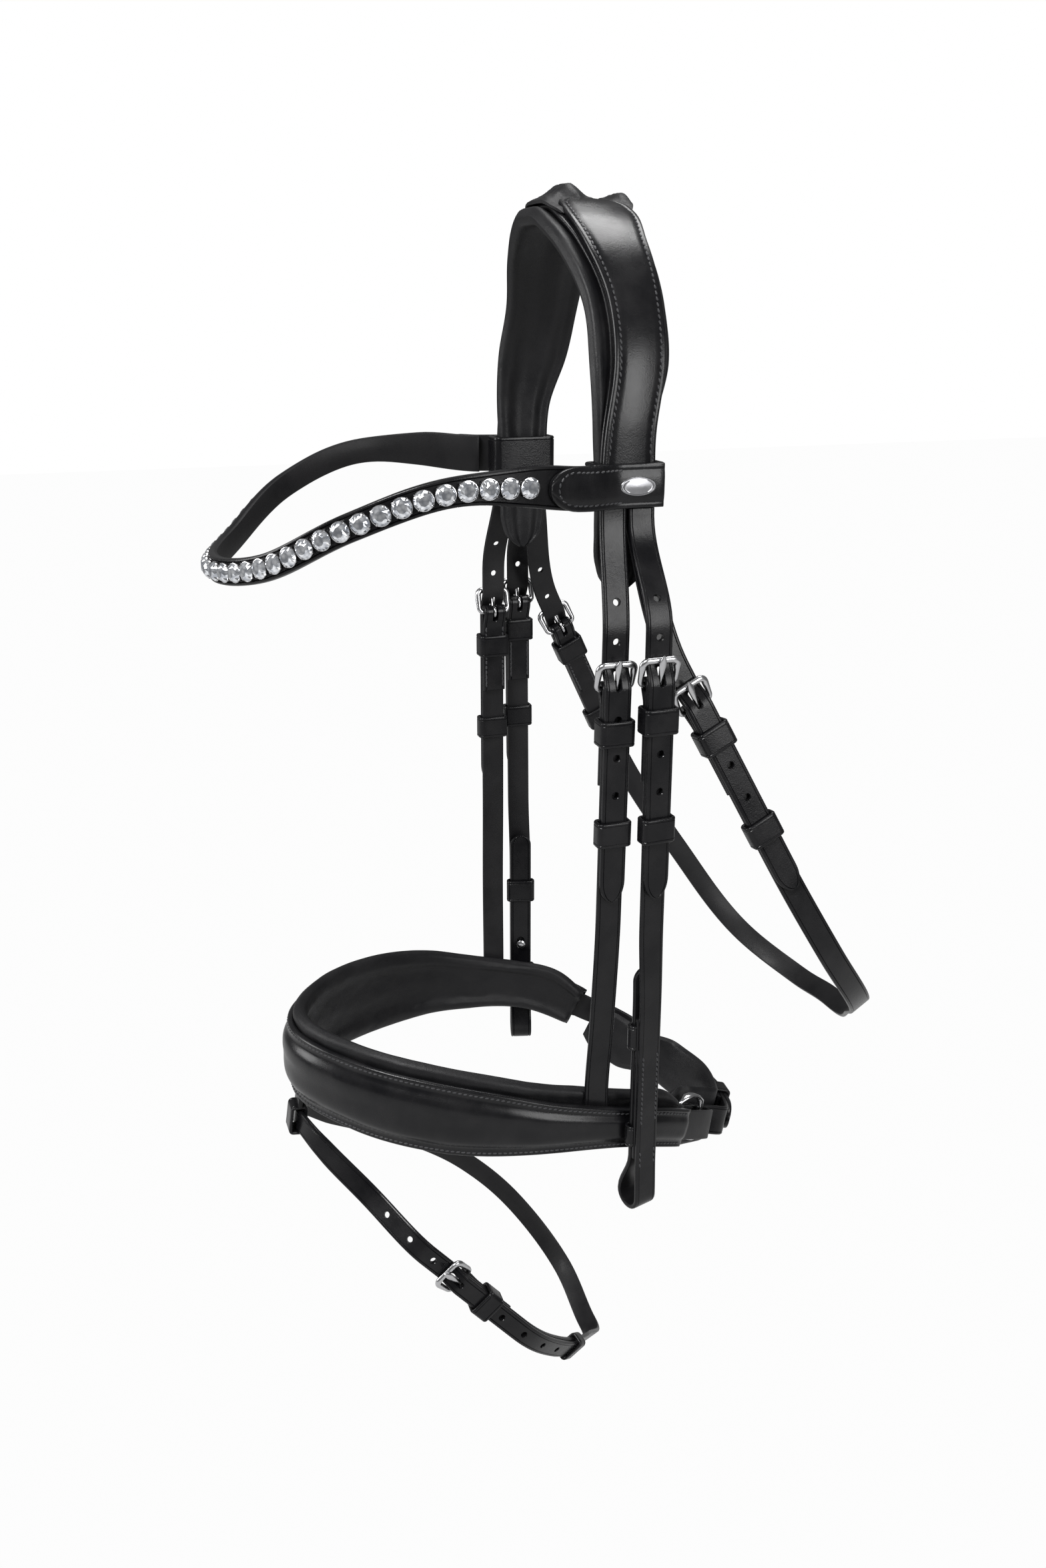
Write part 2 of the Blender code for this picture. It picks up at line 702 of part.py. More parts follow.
def flash_route():
    """The closed flash strap line, from the nose down the near side."""
    slant, level = (0.0, 0.75, 0.66), (0.0, 0.25, 0.97)
    high, low = (73.8, -107.8, -549.6), (80.0, -56.0, -609.0)
    near = [((14.0, -163.0, -491.5), level), ((42.0, -134.0, -524.0), slant),
            (high, slant, unit(high, low)), (low, slant, unit(high, low)),
            ((67.0, -28.0, -641.0), (0.0, 0.8, 0.6)), ((37.0, 3.0, -671.0), (0.0, 0.85, 0.5))]
    bottom = [((0.0, 22.0, -695.0), (0.0, 0.9, 0.43), (-1, 0, 0))]
    far = [((-44.0, 20.0, -681.0), (0.0, 0.85, 0.5)), ((-70.0, -6.0, -640.0), (0.0, 0.8, 0.6)),
           ((-70.0, -42.0, -597.0), slant), ((-56.0, -95.0, -551.0), slant),
           ((-36.0, -138.0, -517.0), (0.0, 0.5, 0.85)), ((-14.0, -163.0, -491.5), level)]
    return Route([((0.0, -166.0, -489.0), (0.0, 0.15, 0.99), (1, 0, 0))] + near + bottom + far,
                 closed=True)


# ------------------------------------------------------------------ headpiece

def crown_edges(route, extra_front, extra_back, lead=0.0):
    """Stations of the crown's outline; v is positive towards the front."""
    half = route.length / 2
    near = [(0.0, -15.0, 13.5), (30.0, -15.4, 12.0), (60.0, -22.0, 7.0), (90.0, -24.0, 6.0),
            (120.0, -24.0, 11.0), (half - 14, -26.0, 16.5), (half, -26.0, 17.0)]
    rows = []
    for q, low, high in near:
        share = min(max(q - LOOP_HEIGHT, 0.0) / 25.0, 1.0)
        rows.append((q + lead, low - extra_back * share, high + extra_front * share))
    for q, low, high in reversed(near[:-1]):
        share = min(max(q - LOOP_HEIGHT, 0.0) / 25.0, 1.0)
        rows.append((2 * half - q + lead, low - extra_back * share, high + extra_front * share))
    return rows


def make_crown(route):
    """Crown strap, the outer overlay and the soft pad with its tongues."""
    flat = SidePath([(0.0, 0.0), (route.length, 0.0)])
    outline = smooth_edges(crown_edges(route, 0.0, 0.0), flat)
    add_node("crown_strap", lay(route, flat, outline, [], LEATHER, 6.0), LEATHER_BLACK)

    drop = CROWN_END_Z - OVERLAY_END_Z
    over = SidePath([(0.0, LAYER), (route.length, LAYER)])
    rows = crown_edges(route, -1.2, -1.2)
    split, step = -0.8, 0.05
    outline = smooth_edges(rows, over)
    first = outline[0]
    heel = [(-drop, first[1], split), (-step, first[1], split)]
    outline = heel + outline + [(route.length - q, low, high) for q, low, high in reversed(heel)]
    add_node("crown_overlay", lay(route, over, outline, [], LEATHER, 6.0), LEATHER_BLACK)

    pad_n = -LEATHER / 2 - GAP - POLL_PAD / 2
    tongue = 50.0
    under = SidePath([(-tongue, pad_n), (route.length + tongue, pad_n)])
    rows = crown_edges(route, 8.5, 3.5, tongue)
    ends = [(0.0, -2.0, 2.0), (5.0, -9.0, 8.5), (14.0, -13.0, 12.5), (30.0, -14.0, 13.5)]
    mirror_ends = [(under.length - q, low, high) for q, low, high in reversed(ends)]
    outline = smooth_edges(ends + rows + mirror_ends, under)
    add_node("crown_pad", lay(route, under, outline, [], POLL_PAD, 6.0), PAD_BLACK)


# ------------------------------------------------------------------- browband

def loop_outline(route):
    """Near browband loop and its tab, seen from above as (x, y) points."""
    back = LOOP_CENTRE_Y + LOOP_INNER_Y + LOOP_WALL
    front = LOOP_CENTRE_Y - LOOP_INNER_Y - LOOP_WALL
    inside = LOOP_INNER_X - LOOP_WALL
    face = BROW_THICK / 2 + GAP
    run = np.linspace(route.length - TAB_LENGTH, route.marks[-2] - 4.0, 7)
    inner = [route.place(s, face, 0.0)[:2] for s in run[::-1]]
    outer = [route.place(s, face + TAB_THICK, 0.0)[:2] for s in run]
    wall = route.place(route.length, face + TAB_THICK, 0.0)[0]
    ring = [(inside + 1.5, back), (inside, back - 1.5), (inside, front + 1.5), (inside + 1.5, front)]
    outline = ring + [(LOOP_OUTER_X, front)] + [tuple(p) for p in inner + outer]
    return outline + [(wall, route.line[-1][1] - TAB_BACK_Y - 6.0), (wall, back - 2.0),
                      (wall - 2.0, back)]


def make_browband(route):
    """Band, its two loops, the row of stones and the outer loop tabs."""
    middle = (LOOP_INNER_X + LOOP_OUTER_X) / 2
    inner = rounded_rectangle((LOOP_OUTER_X - LOOP_INNER_X) / 2, LOOP_INNER_Y, 1.0, 2)
    inner = [(a + middle, b + LOOP_CENTRE_Y) for a, b in inner]
    bm = flat_plate(loop_outline(route), [inner], LOOP_HEIGHT)
    bmesh.ops.translate(bm, verts=bm.verts, vec=(0, 0, LOOP_Z))
    add_pair("browband_loop", bm, LEATHER_BLACK)

    half = BROW_HEIGHT / 2
    tall = LOOP_HEIGHT / 2
    first, last = route.marks[2], route.marks[-3]
    flat = SidePath([(first, 0.0), (last, 0.0)])
    rows = [(0.0, -tall, tall), (26.0, -tall + 0.5, tall - 0.5), (62.0, -half - 0.4, half + 0.4),
            (100.0, -half, half), (flat.length / 2, -half, half)]
    rows += [(flat.length - q, low, high) for q, low, high in reversed(rows[:-1])]
    outline = smooth_edges(rows, flat)
    add_node("browband", lay(route, flat, outline, [], BROW_THICK), LEATHER_BLACK)

    add_node("stone_row", stone_row(route), STONES)


def stone_row(route):
    """The row of set stones: beads joined edge to edge on a thin chain."""
    level = BROW_THICK / 2 + GAP + STONE_RISE / 2
    first = route.length / 2 - STONE_COUNT * STONE_PITCH
    path = SidePath([(first, level), (first + 2 * STONE_COUNT * STONE_PITCH, level)])
    rows = []
    for k in range(2 * STONE_COUNT):
        for turn in np.radians([-50, 0, 50]):
            along = (k + 0.5) * STONE_PITCH + STONE_R * math.sin(turn)
            rows.append((along, -STONE_R * math.cos(turn), STONE_R * math.cos(turn)))
    return lay(route, path, rows, [], STONE_RISE, path.length)


# ------------------------------------------------------ straps with a buckle

def add_buckle(stem, parts, pair=True):
    """Add the frame and the prong of a buckle set."""
    for kind, bm in (("buckle", parts.frame_mesh()), ("prong", parts.prong_mesh())):
        if pair:
            add_pair(f"{stem}_{kind}", bm, STEEL, parts.pivot())
        else:
            add_node(f"{stem}_{kind}", bm, STEEL, parts.pivot())


def make_hangers(route):
    """Noseband hangers: billet, strap, buckle and keepers on each side."""
    parts = BuckleSet(route, route.nearest_height(-218.0))
    billet = SidePath(parts.billet_points(0.0))
    outline = strap_edges(billet.length, STRAP_WIDTH, "round", "tip")
    holes = parts.billet_holes(billet, 2, 4)
    add_pair("hanger_billet", lay(route, billet, outline, holes, LEATHER), LEATHER_BLACK,
             (BILLET_X, -BILLET_SPREAD + 0.5, ROOT_Z))
    end = route.nearest_height(HANGER_END_Z)
    strap = parts.strap_path([(end, 0.0)])
    outline = strap_edges(strap.length, STRAP_WIDTH)
    bm = lay(route, strap, outline, [parts.fold_slot(strap)], LEATHER, 10.0)
    add_pair("hanger_strap", bm, LEATHER_BLACK)
    add_buckle("hanger", parts)
    fixed = parts.keeper_mesh(FIXED_KEEPER_AT + 1.5, low_of(-LAYER), high_of(LAYER))
    add_pair("hanger_keeper", fixed, LEATHER_BLACK)
    loose = parts.keeper_mesh(RUNNING_KEEPER_AT, low_of(0), high_of(LAYER))
    add_pair("hanger_runner", loose, LEATHER_BLACK)


def make_bit_cheeks(route):
    """Bit cheekpieces: billet, cheek with its bit loop, buckle and keepers."""
    parts = BuckleSet(route, route.nearest_height(-215.0))
    billet = SidePath(parts.billet_points(0.0))
    outline = strap_edges(billet.length, STRAP_WIDTH, "square", "tip")
    holes = parts.billet_holes(billet, 2, 4)
    add_pair("bit_billet", lay(route, billet, outline, holes, LEATHER), LEATHER_BLACK,
             (BILLET_X, BILLET_SPREAD + 0.5, ROOT_Z))
    level = -2 * LAYER
    turn_s = route.nearest_height(BIT_BOTTOM_Z + BIT_LOOP_R)
    neck_s = turn_s - 26.0
    centre_n = level + LAYER - BIT_LOOP_R + 3.6
    out_n, in_n = centre_n + BIT_LOOP_R, centre_n - BIT_LOOP_R
    points = [(neck_s - 4.0, 0.0)] + ease_between(neck_s, 0.0, turn_s, out_n, 4)
    points += [(turn_s + BIT_LOOP_R * math.sin(a), centre_n + BIT_LOOP_R * math.cos(a))
               for a in np.radians([30, 60, 90, 120, 150])]
    points += ease_between(turn_s, in_n, neck_s, level, 5)
    points += [(route.nearest_height(BIT_TIP_Z), level)]
    cheek = parts.strap_path(points)
    outline = strap_edges(cheek.length, STRAP_WIDTH, "square", "round")
    stud_q = cheek.q_at(route.nearest_height(BIT_STUD_Z), first=False)
    holes = [parts.fold_slot(cheek), slot(stud_q, 4.2, 2.2)]
    add_pair("bit_cheek", lay(route, cheek, outline, holes, LEATHER, 10.0), LEATHER_BLACK)
    add_pair("bit_hook_stud", hook_stud(route, level), STEEL)
    add_buckle("bit", parts)
    fixed = parts.keeper_mesh(FIXED_KEEPER_AT - 2.5, low_of(-LAYER), high_of(LAYER))
    add_pair("bit_keeper", fixed, LEATHER_BLACK)
    loose = parts.keeper_mesh(RUNNING_KEEPER_AT, low_of(0), high_of(LAYER))
    add_pair("bit_runner", loose, LEATHER_BLACK)
    small = keeper(route, route.nearest_height(BIT_KEEPER_Z), low_of(level), high_of(0),
                   STRAP_WIDTH, 15.0)
    add_pair("bit_loop_keeper", small, LEATHER_BLACK)


def hook_stud(route, level):
    """A turned stud on the cheek, through the return billet's slot."""
    s = route.nearest_height(BIT_STUD_Z)
    point, along, width, out = route.frame(s)
    base = low_of(0.0) - GAP
    reach = base - low_of(level) + 1.2
    profile = [(1.5, 0.0), (1.5, reach), (2.9, reach + 0.6), (2.9, reach + 1.6), (1.6, reach + 2.2)]
    bm = bmesh.new()
    verts = [bm.verts.new((r, 0.0, h)) for r, h in [(0.0, 0.0)] + profile + [(0.0, reach + 2.2)]]
    edges = [bm.edges.new(pair) for pair in zip(verts, verts[1:])]
    bmesh.ops.spin(bm, geom=verts + edges, cent=(0, 0, 0), axis=(0, 0, 1),
                   angle=2 * math.pi, steps=10, use_merge=True)
    bmesh.ops.remove_doubles(bm, verts=bm.verts, dist=0.001)
    foot = point + out * base
    turn = Matrix([[width[i], along[i], -out[i], foot[i]] for i in range(3)] + [[0, 0, 0, 1]])
    bmesh.ops.transform(bm, matrix=turn, verts=bm.verts)
    return bm


def make_throatlatch(route):
    """Throatlatch strap with a billet, buckle and keepers at each side."""
    bar = route.nearest_height(-231.0)
    parts = BuckleSet(route, bar)
    billet = SidePath(parts.billet_points(0.0))
    outline = strap_edges(billet.length, STRAP_WIDTH, "round", "tip")
    holes = parts.billet_holes(billet, 2, 4)
    add_pair("throat_billet", lay(route, billet, outline, holes, LEATHER), LEATHER_BLACK,
             (LEG_X, 5.0, ROOT_Z))
    near = parts.strap_path([])
    flipped = [(route.length - s, n) for s, n in near.points[::-1]]
    strap = SidePath(list(near.points) + flipped)
    outline = strap_edges(strap.length, STRAP_WIDTH)
    slot_near = parts.fold_slot(strap)
    slot_far = [(strap.length - q, v) for q, v in slot_near]
    bm = lay(route, strap, outline, [slot_near, slot_far], LEATHER, 10.0)
    add_node("throat_strap", bm, LEATHER_BLACK)
    add_buckle("throat", parts)
    loose = parts.keeper_mesh(RUNNING_KEEPER_AT, low_of(0), high_of(LAYER))
    add_pair("throat_runner", loose, LEATHER_BLACK)


# ------------------------------------------------------------------- noseband

def make_noseband(route):
    """Panel, pad, flash carrier, and the crank at the chin."""
    near_end, far_end = route.marks[3] + 2.0, route.length - route.marks[3] - 2.0
    long = far_end - near_end
    side = long / 2
    panel_rows = [(0.0, -11.5, 11.0), (20.0, -12.0, 11.5), (50.0, -13.0, 11.0),
                  (90.0, -17.0, 13.0), (130.0, -21.5, 18.0), (side - 25, -23.0, 21.0),
                  (side, -23.0, 21.0)]
    panel_rows += [(long - q, low, high) for q, low, high in reversed(panel_rows[:-1])]
    rows = [(q, -high, -low) for q, low, high in panel_rows]
    path = SidePath([(near_end, 0.0), (far_end, 0.0)])
    bm = lay(route, path, smooth_edges(rows, path), [], PANEL_THICK)
    add_node("noseband_panel", bm, LEATHER_BLACK)

    close = -PANEL_THICK / 2 - GAP - PAD_THICK / 2
    wide = close - LAYER - 0.3
    hang = route.marks[5]
    points = [(near_end + 3.0, wide), (hang + 16.0, wide), (hang + 46.0, close)]
    points += [(route.length - s, n) for s, n in reversed(points)]
    pad = SidePath(points)
    pad_rows = []
    for q, low, high in panel_rows:
        lift = 7.0 if 10.0 < q < long - 10.0 else 2.0
        pad_rows.append((max(q - 3.0, 0.0), -high - lift, -low + 3.0))
    spare = pad.length / pad_rows[-1][0]
    pad_rows = [(q * spare, low, high) for q, low, high in pad_rows]
    bm = lay(route, pad, smooth_edges(pad_rows, pad), [], PAD_THICK)
    add_node("noseband_pad", bm, PAD_BLACK)


def make_crank(route):
    """Runner and dee at the near side, chin strap, billet, buckle and chin pad."""
    near_end = route.marks[3] + 2.0
    far_start = -near_end
    leg = -PANEL_THICK / 2 - GAP - LEATHER / 2
    centre = leg - TURN_R
    turn = [(TURN_S - TURN_R * math.sin(a), centre + TURN_R * math.cos(a))
            for a in np.radians([0, 30, 60, 90, 120, 150, 180])]
    runner = SidePath([(near_end + 20.0, leg)] + turn + [(TURN_S + 9.0, centre - TURN_R)])
    outline = strap_edges(runner.length, CHIN_WIDTH)
    add_node("crank_runner", lay(route, runner, outline, [], LEATHER, 10.0), LEATHER_BLACK)

    inside = centre - TURN_R - LAYER
    bar_n = inside + FOLD_R
    dee = dee_points(route, centre, bar_n)
    add_node("crank_dee", wire(dee, BAR_R, closed=True), STEEL, route.place(DEE_REAR_S, centre, 0.0))

    parts = BuckleSet(route, CHIN_BAR_S, CHIN_WIDTH, CHIN_TIP, 36.0)
    fold = [(DEE_FRONT_S + FOLD_R * math.sin(a), bar_n - FOLD_R * math.cos(a))
            for a in np.radians([0, 30, 60, 90, 120, 150, 180])]
    run = [(CHIN_BAR_S + 50.0, 0.0)] + ease_between(44.0, 0.0, 70.0, inside, 7) + fold
    strap = parts.strap_path(run + [(DEE_FRONT_S - 9.0, bar_n + FOLD_R)])
    outline = strap_edges(strap.length, CHIN_WIDTH)
    bm = lay(route, strap, outline, [parts.fold_slot(strap)], LEATHER, 10.0)
    add_node("chin_strap", bm, LEATHER_BLACK)

    points = [(far_start - 20.0, leg), (far_start + 1.0, leg)]
    points += ease_between(far_start + 4.0, leg, far_start + 24.0, parts.under_n, 4)
    billet = SidePath(points + parts.billet_points(far_start + 30.0)[1:])
    outline = strap_edges(billet.length, CHIN_WIDTH, "square", "tip")
    holes = parts.billet_holes(billet, 2, 2)
    bm = lay(route, billet, outline, holes, LEATHER, 8.0)
    add_node("crank_billet", bm, LEATHER_BLACK)
    add_buckle("crank", parts, pair=False)
    add_node("chin_pad", chin_pad(route, inside), PAD_BLACK)


def dee_points(route, rear_n, front_n):
    """The dee: its rear bar in the runner, its front bar in the chin strap."""
    half = CHIN_WIDTH / 2 + GAP + BAR_R
    lift = 4.5
    flat = [(0.0, 0.8), (0.1, 1.0), (0.9, 1.0), (1.0, 0.8), (1.0, -0.8), (0.93, -1.0)]
    flat = [(share, v * half) for share, v in flat]
    flat += [(0.75, -half - lift * 0.8), (0.5, -half - lift), (0.25, -half - lift * 0.8)]
    flat += [(0.07, -half), (0.0, -0.8 * half)]
    points = []
    for share, v in flat:
        s = DEE_REAR_S + (DEE_FRONT_S - DEE_REAR_S) * share
        points.append(tuple(route.place(s, rear_n + (front_n - rear_n) * share, v)))
    return points


def chin_pad(route, strap_n):
    """The soft pad behind the chin, tallest at its middle."""
    deep = strap_n - LEATHER / 2 - GAP - CHIN_PAD_THICK / 2
    shallow = -2 * FOLD_R - LEATHER / 2 - GAP - CHIN_PAD_THICK / 2
    end = DEE_FRONT_S + 6.0
    near = ease_between(40.0, shallow, 70.0, deep, 6) + [(end, deep)]
    far = [(-s, n) for s, n in reversed(near)]
    path = SidePath(far + near)
    half = path.length / 2
    rows = [(0.0, -9.0, 9.0), (8.0, -15.0, 15.0), (26.0, -18.0, 18.0), (60.0, -18.0, 16.0),
            (half, -21.0, 15.0)]
    rows += [(path.length - q, low, high) for q, low, high in reversed(rows[:-1])]
    return lay(route, path, smooth_edges(rows, path), [], CHIN_PAD_THICK)


def make_flash(route):
    """Flash strap through its carrier, with a buckle and two keepers."""
    bar = route.nearest_height(FLASH_BAR_Z)
    parts = BuckleSet(route, bar, FLASH_WIDTH, FLASH_TIP, 38.0)
    over = parts.billet_points(30.0)
    once = [(route.length + s, n) for s, n in over]
    strap = parts.strap_path([(route.length - 30.0, 0.0), (route.length, 0.0)] + once)
    outline = strap_edges(strap.length, FLASH_WIDTH, "square", "tip")
    holes = [parts.fold_slot(strap)]
    used = strap.q_at(route.length + parts.prong_s, first=False)
    holes.append(slot(used, PRONG_SLOT_R + SLOT_HALF, PRONG_SLOT_R))
    for k in (-3, -2, -1, 2, 3, 4, 5):
        holes.append(slot(used + k * HOLE_PITCH, 0.0, HOLE_R))
    add_node("flash_strap", lay(route, strap, outline, holes, LEATHER, 10.0), LEATHER_BLACK)
    add_buckle("flash", parts, pair=False)
    fixed = parts.keeper_mesh(21.0, low_of(-LAYER), high_of(LAYER), 12.0)
    add_node("flash_keeper", fixed, LEATHER_BLACK)
    loose = parts.keeper_mesh(FLASH_END_KEEPER, low_of(0), high_of(LAYER), 9.0)
    add_node("flash_runner", loose, LEATHER_BLACK)
    add_node("flash_carrier", carrier(route), LEATHER_BLACK)


def carrier(route):
    """Leather loop below the noseband that the flash strap runs through."""
    half_v = FLASH_WIDTH / 2 + 1.2
    half_n = LEATHER / 2 + 2.0
    wall_v, wall_n = half_v + KEEPER_WALL, half_n + KEEPER_WALL
    outer = [(-wall_v, -wall_n), (wall_v, -wall_n), (wall_v, -1.5), (wall_v + CARRIER_TAB, -1.5),
             (wall_v + CARRIER_TAB, 1.5), (wall_v, 1.5), (wall_v, wall_n), (-wall_v, wall_n)]
    bm = flat_plate(outer, [rounded_rectangle(half_v, half_n, 0.5, 2)], CARRIER_LENGTH)
    point, along, side, out = route.frame(0.0)
    turn = Matrix([[side[i], out[i], -along[i], point[i]] for i in range(3)] + [[0, 0, 0, 1]])
    bmesh.ops.transform(bm, matrix=turn, verts=bm.verts)
    return bm


def main():
    """Build the bridle."""
    clear_scene()
    make_crown(crown_route())
    make_browband(brow_route())
    make_hangers(hanger_route())
    make_bit_cheeks(bit_route())
    make_throatlatch(throat_route())
    nose = nose_route()
    make_noseband(nose)
    make_crank(nose)
    make_flash(flash_route())


main()
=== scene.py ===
"""Looks of the snaffle bridle: leather, padding, stitching, metal and stones.

Lengths are in millimetres until a mesh is made.  Every strap is shaped flat as
(q along, v across, t through) and is then laid along its route in space, so the
"lay" attribute of each mesh holds those three, in metres, for the materials.
"""

import json
import logging
import math
from dataclasses import dataclass
from enum import Enum
from typing import Callable, Sequence

import bmesh
import bpy
import numpy as np
from mathutils import Matrix, Vector, noise

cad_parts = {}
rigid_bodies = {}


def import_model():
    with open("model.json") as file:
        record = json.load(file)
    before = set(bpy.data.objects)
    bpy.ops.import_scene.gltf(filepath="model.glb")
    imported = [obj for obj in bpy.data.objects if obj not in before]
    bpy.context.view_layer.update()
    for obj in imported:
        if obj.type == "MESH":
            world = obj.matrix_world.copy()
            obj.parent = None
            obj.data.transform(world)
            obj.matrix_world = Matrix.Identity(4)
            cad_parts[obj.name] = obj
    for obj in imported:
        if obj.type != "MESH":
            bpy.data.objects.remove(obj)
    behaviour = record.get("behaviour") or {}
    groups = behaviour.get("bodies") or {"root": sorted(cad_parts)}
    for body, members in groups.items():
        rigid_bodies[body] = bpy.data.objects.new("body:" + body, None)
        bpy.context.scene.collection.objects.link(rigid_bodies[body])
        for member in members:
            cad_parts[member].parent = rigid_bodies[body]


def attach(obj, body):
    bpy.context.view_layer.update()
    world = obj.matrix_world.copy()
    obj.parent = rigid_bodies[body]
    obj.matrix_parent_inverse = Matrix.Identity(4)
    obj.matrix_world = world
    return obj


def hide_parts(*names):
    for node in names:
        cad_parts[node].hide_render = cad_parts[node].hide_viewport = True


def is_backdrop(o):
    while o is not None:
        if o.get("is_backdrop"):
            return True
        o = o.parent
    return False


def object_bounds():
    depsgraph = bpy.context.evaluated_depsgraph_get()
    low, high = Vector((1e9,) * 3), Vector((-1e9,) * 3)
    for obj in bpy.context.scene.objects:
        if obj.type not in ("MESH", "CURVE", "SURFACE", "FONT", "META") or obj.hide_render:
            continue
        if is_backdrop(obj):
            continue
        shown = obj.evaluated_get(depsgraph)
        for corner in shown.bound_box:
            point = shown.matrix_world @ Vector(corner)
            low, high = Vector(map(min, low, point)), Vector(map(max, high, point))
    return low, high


LOG = logging.getLogger("bridle")
MM = 0.001
SIDES = {"near": 1.0, "far": -1.0}

STRAP_WIDTH = 14.0
LEATHER = 2.6
GAP = 0.3
LAYER = LEATHER + GAP
HOLE_R = 1.8
HOLE_PITCH = 19.8
BAR_R = 1.4
BUCKLE_PITCH = 13.0
BUCKLE_CLEARANCE = 0.9
PRONG_R = 1.1
FOLD_R = BAR_R + GAP + LEATHER / 2
TURN_BACK = 50.0
TIP_LENGTH = 113.0
SLOT_HALF = 3.5
PRONG_SLOT_R = PRONG_R + 0.6
KEEPER_LENGTH = 13.5
KEEPER_WALL = 1.8
KEEPER_PLAY = 0.5
FIXED_KEEPER_AT = 20.0
RUNNING_KEEPER_AT = 75.0
LEG_X = 76.9
LEG_Z = -95.0
POLL_PAD = 5.0
CROWN_END_Z = -124.7
BILLET_X = LEG_X + LAYER
BILLET_SPREAD = 7.5
ROOT_Z = -132.0
OVERLAY_END_Z = -131.5
BROW_HEIGHT = 13.5
BROW_THICK = 4.6
LOOP_HEIGHT = 21.0
LOOP_Z = -121.0
LOOP_WALL = 2.4
LOOP_INNER_Y = 15.9
LOOP_INNER_X = 69.9
LOOP_OUTER_X = 81.7
LOOP_CENTRE_Y = 0.5
BAND_END_Y = -22.0
TAB_BACK_Y = 17.0
TAB_LENGTH = 66.0
TAB_THICK = 2.4
STONE_R = 4.6
STONE_PITCH = 9.9
STONE_COUNT = 20
BIT_LOOP_R = 7.4
BIT_BOTTOM_Z = -521.5
BIT_TIP_Z = -372.0
BIT_STUD_Z = -451.0
BIT_KEEPER_Z = -412.0
PANEL_THICK = 5.0
PAD_THICK = 6.0
HANGER_END_Z = -476.0
CHIN_WIDTH = 18.0
CHIN_TIP = 52.0
CHIN_BAR_S = -12.0
TURN_R = 5.9
TURN_S = 77.0
DEE_REAR_S = 79.0
DEE_FRONT_S = 100.0
CHIN_PAD_THICK = 5.0
FLASH_WIDTH = 12.5
FLASH_BAR_Z = -571.0
FLASH_TIP = 130.0
FLASH_END_KEEPER = 119.0
STONE_RISE = 3.4
CARRIER_LENGTH = 12.0
CARRIER_TAB = 5.0


# ------------------------------------------------------------ lines in space

def hermite(t, a, b, slope_a, slope_b):
    """Return the cubic between two values with the given end slopes."""
    return ((2 * t**3 - 3 * t**2 + 1) * a + (t**3 - 2 * t**2 + t) * slope_a
            + (3 * t**2 - 2 * t**3) * b + (t**3 - t**2) * slope_b)


def smooth_values(at, xs, ys):
    """Read a smooth curve through (xs, ys) at the places asked for."""
    xs, ys = np.array(xs, float), np.array(ys, float)
    slope = np.gradient(ys, xs)
    index = np.clip(np.searchsorted(xs, at) - 1, 0, len(xs) - 2)
    span = xs[index + 1] - xs[index]
    t = (at - xs[index]) / span
    return hermite(t, ys[index], ys[index + 1], slope[index] * span, slope[index + 1] * span)


def ease(t):
    """Smooth 0 to 1 step."""
    t = np.clip(t, 0.0, 1.0)
    return t * t * (3 - 2 * t)


def arc(centre, radius, start, stop, count):
    """Points on an arc; the angles are in degrees."""
    angles = np.radians(np.linspace(start, stop, count))
    return [(centre[0] + radius * math.cos(a), centre[1] + radius * math.sin(a)) for a in angles]


def rounded_rectangle(half_a, half_b, radius, corner=6):
    """A rectangle with round corners, counter-clockwise."""
    points = []
    for quarter, (sa, sb) in enumerate([(1, 1), (-1, 1), (-1, -1), (1, -1)]):
        centre = (sa * (half_a - radius), sb * (half_b - radius))
        points += arc(centre, radius, 90 * quarter, 90 * quarter + 90, corner)
    return points


def unit(a, b):
    """Direction from a to b."""
    run = np.array(b, float) - np.array(a, float)
    return tuple(run / np.linalg.norm(run))


def ease_between(s0, n0, s1, n1, count=9):
    """Points of a soft step from one level to another."""
    share = np.linspace(0, 1, count)
    return [(s0 + (s1 - s0) * t, n0 + (n1 - n0) * t * t * (3 - 2 * t)) for t in share]


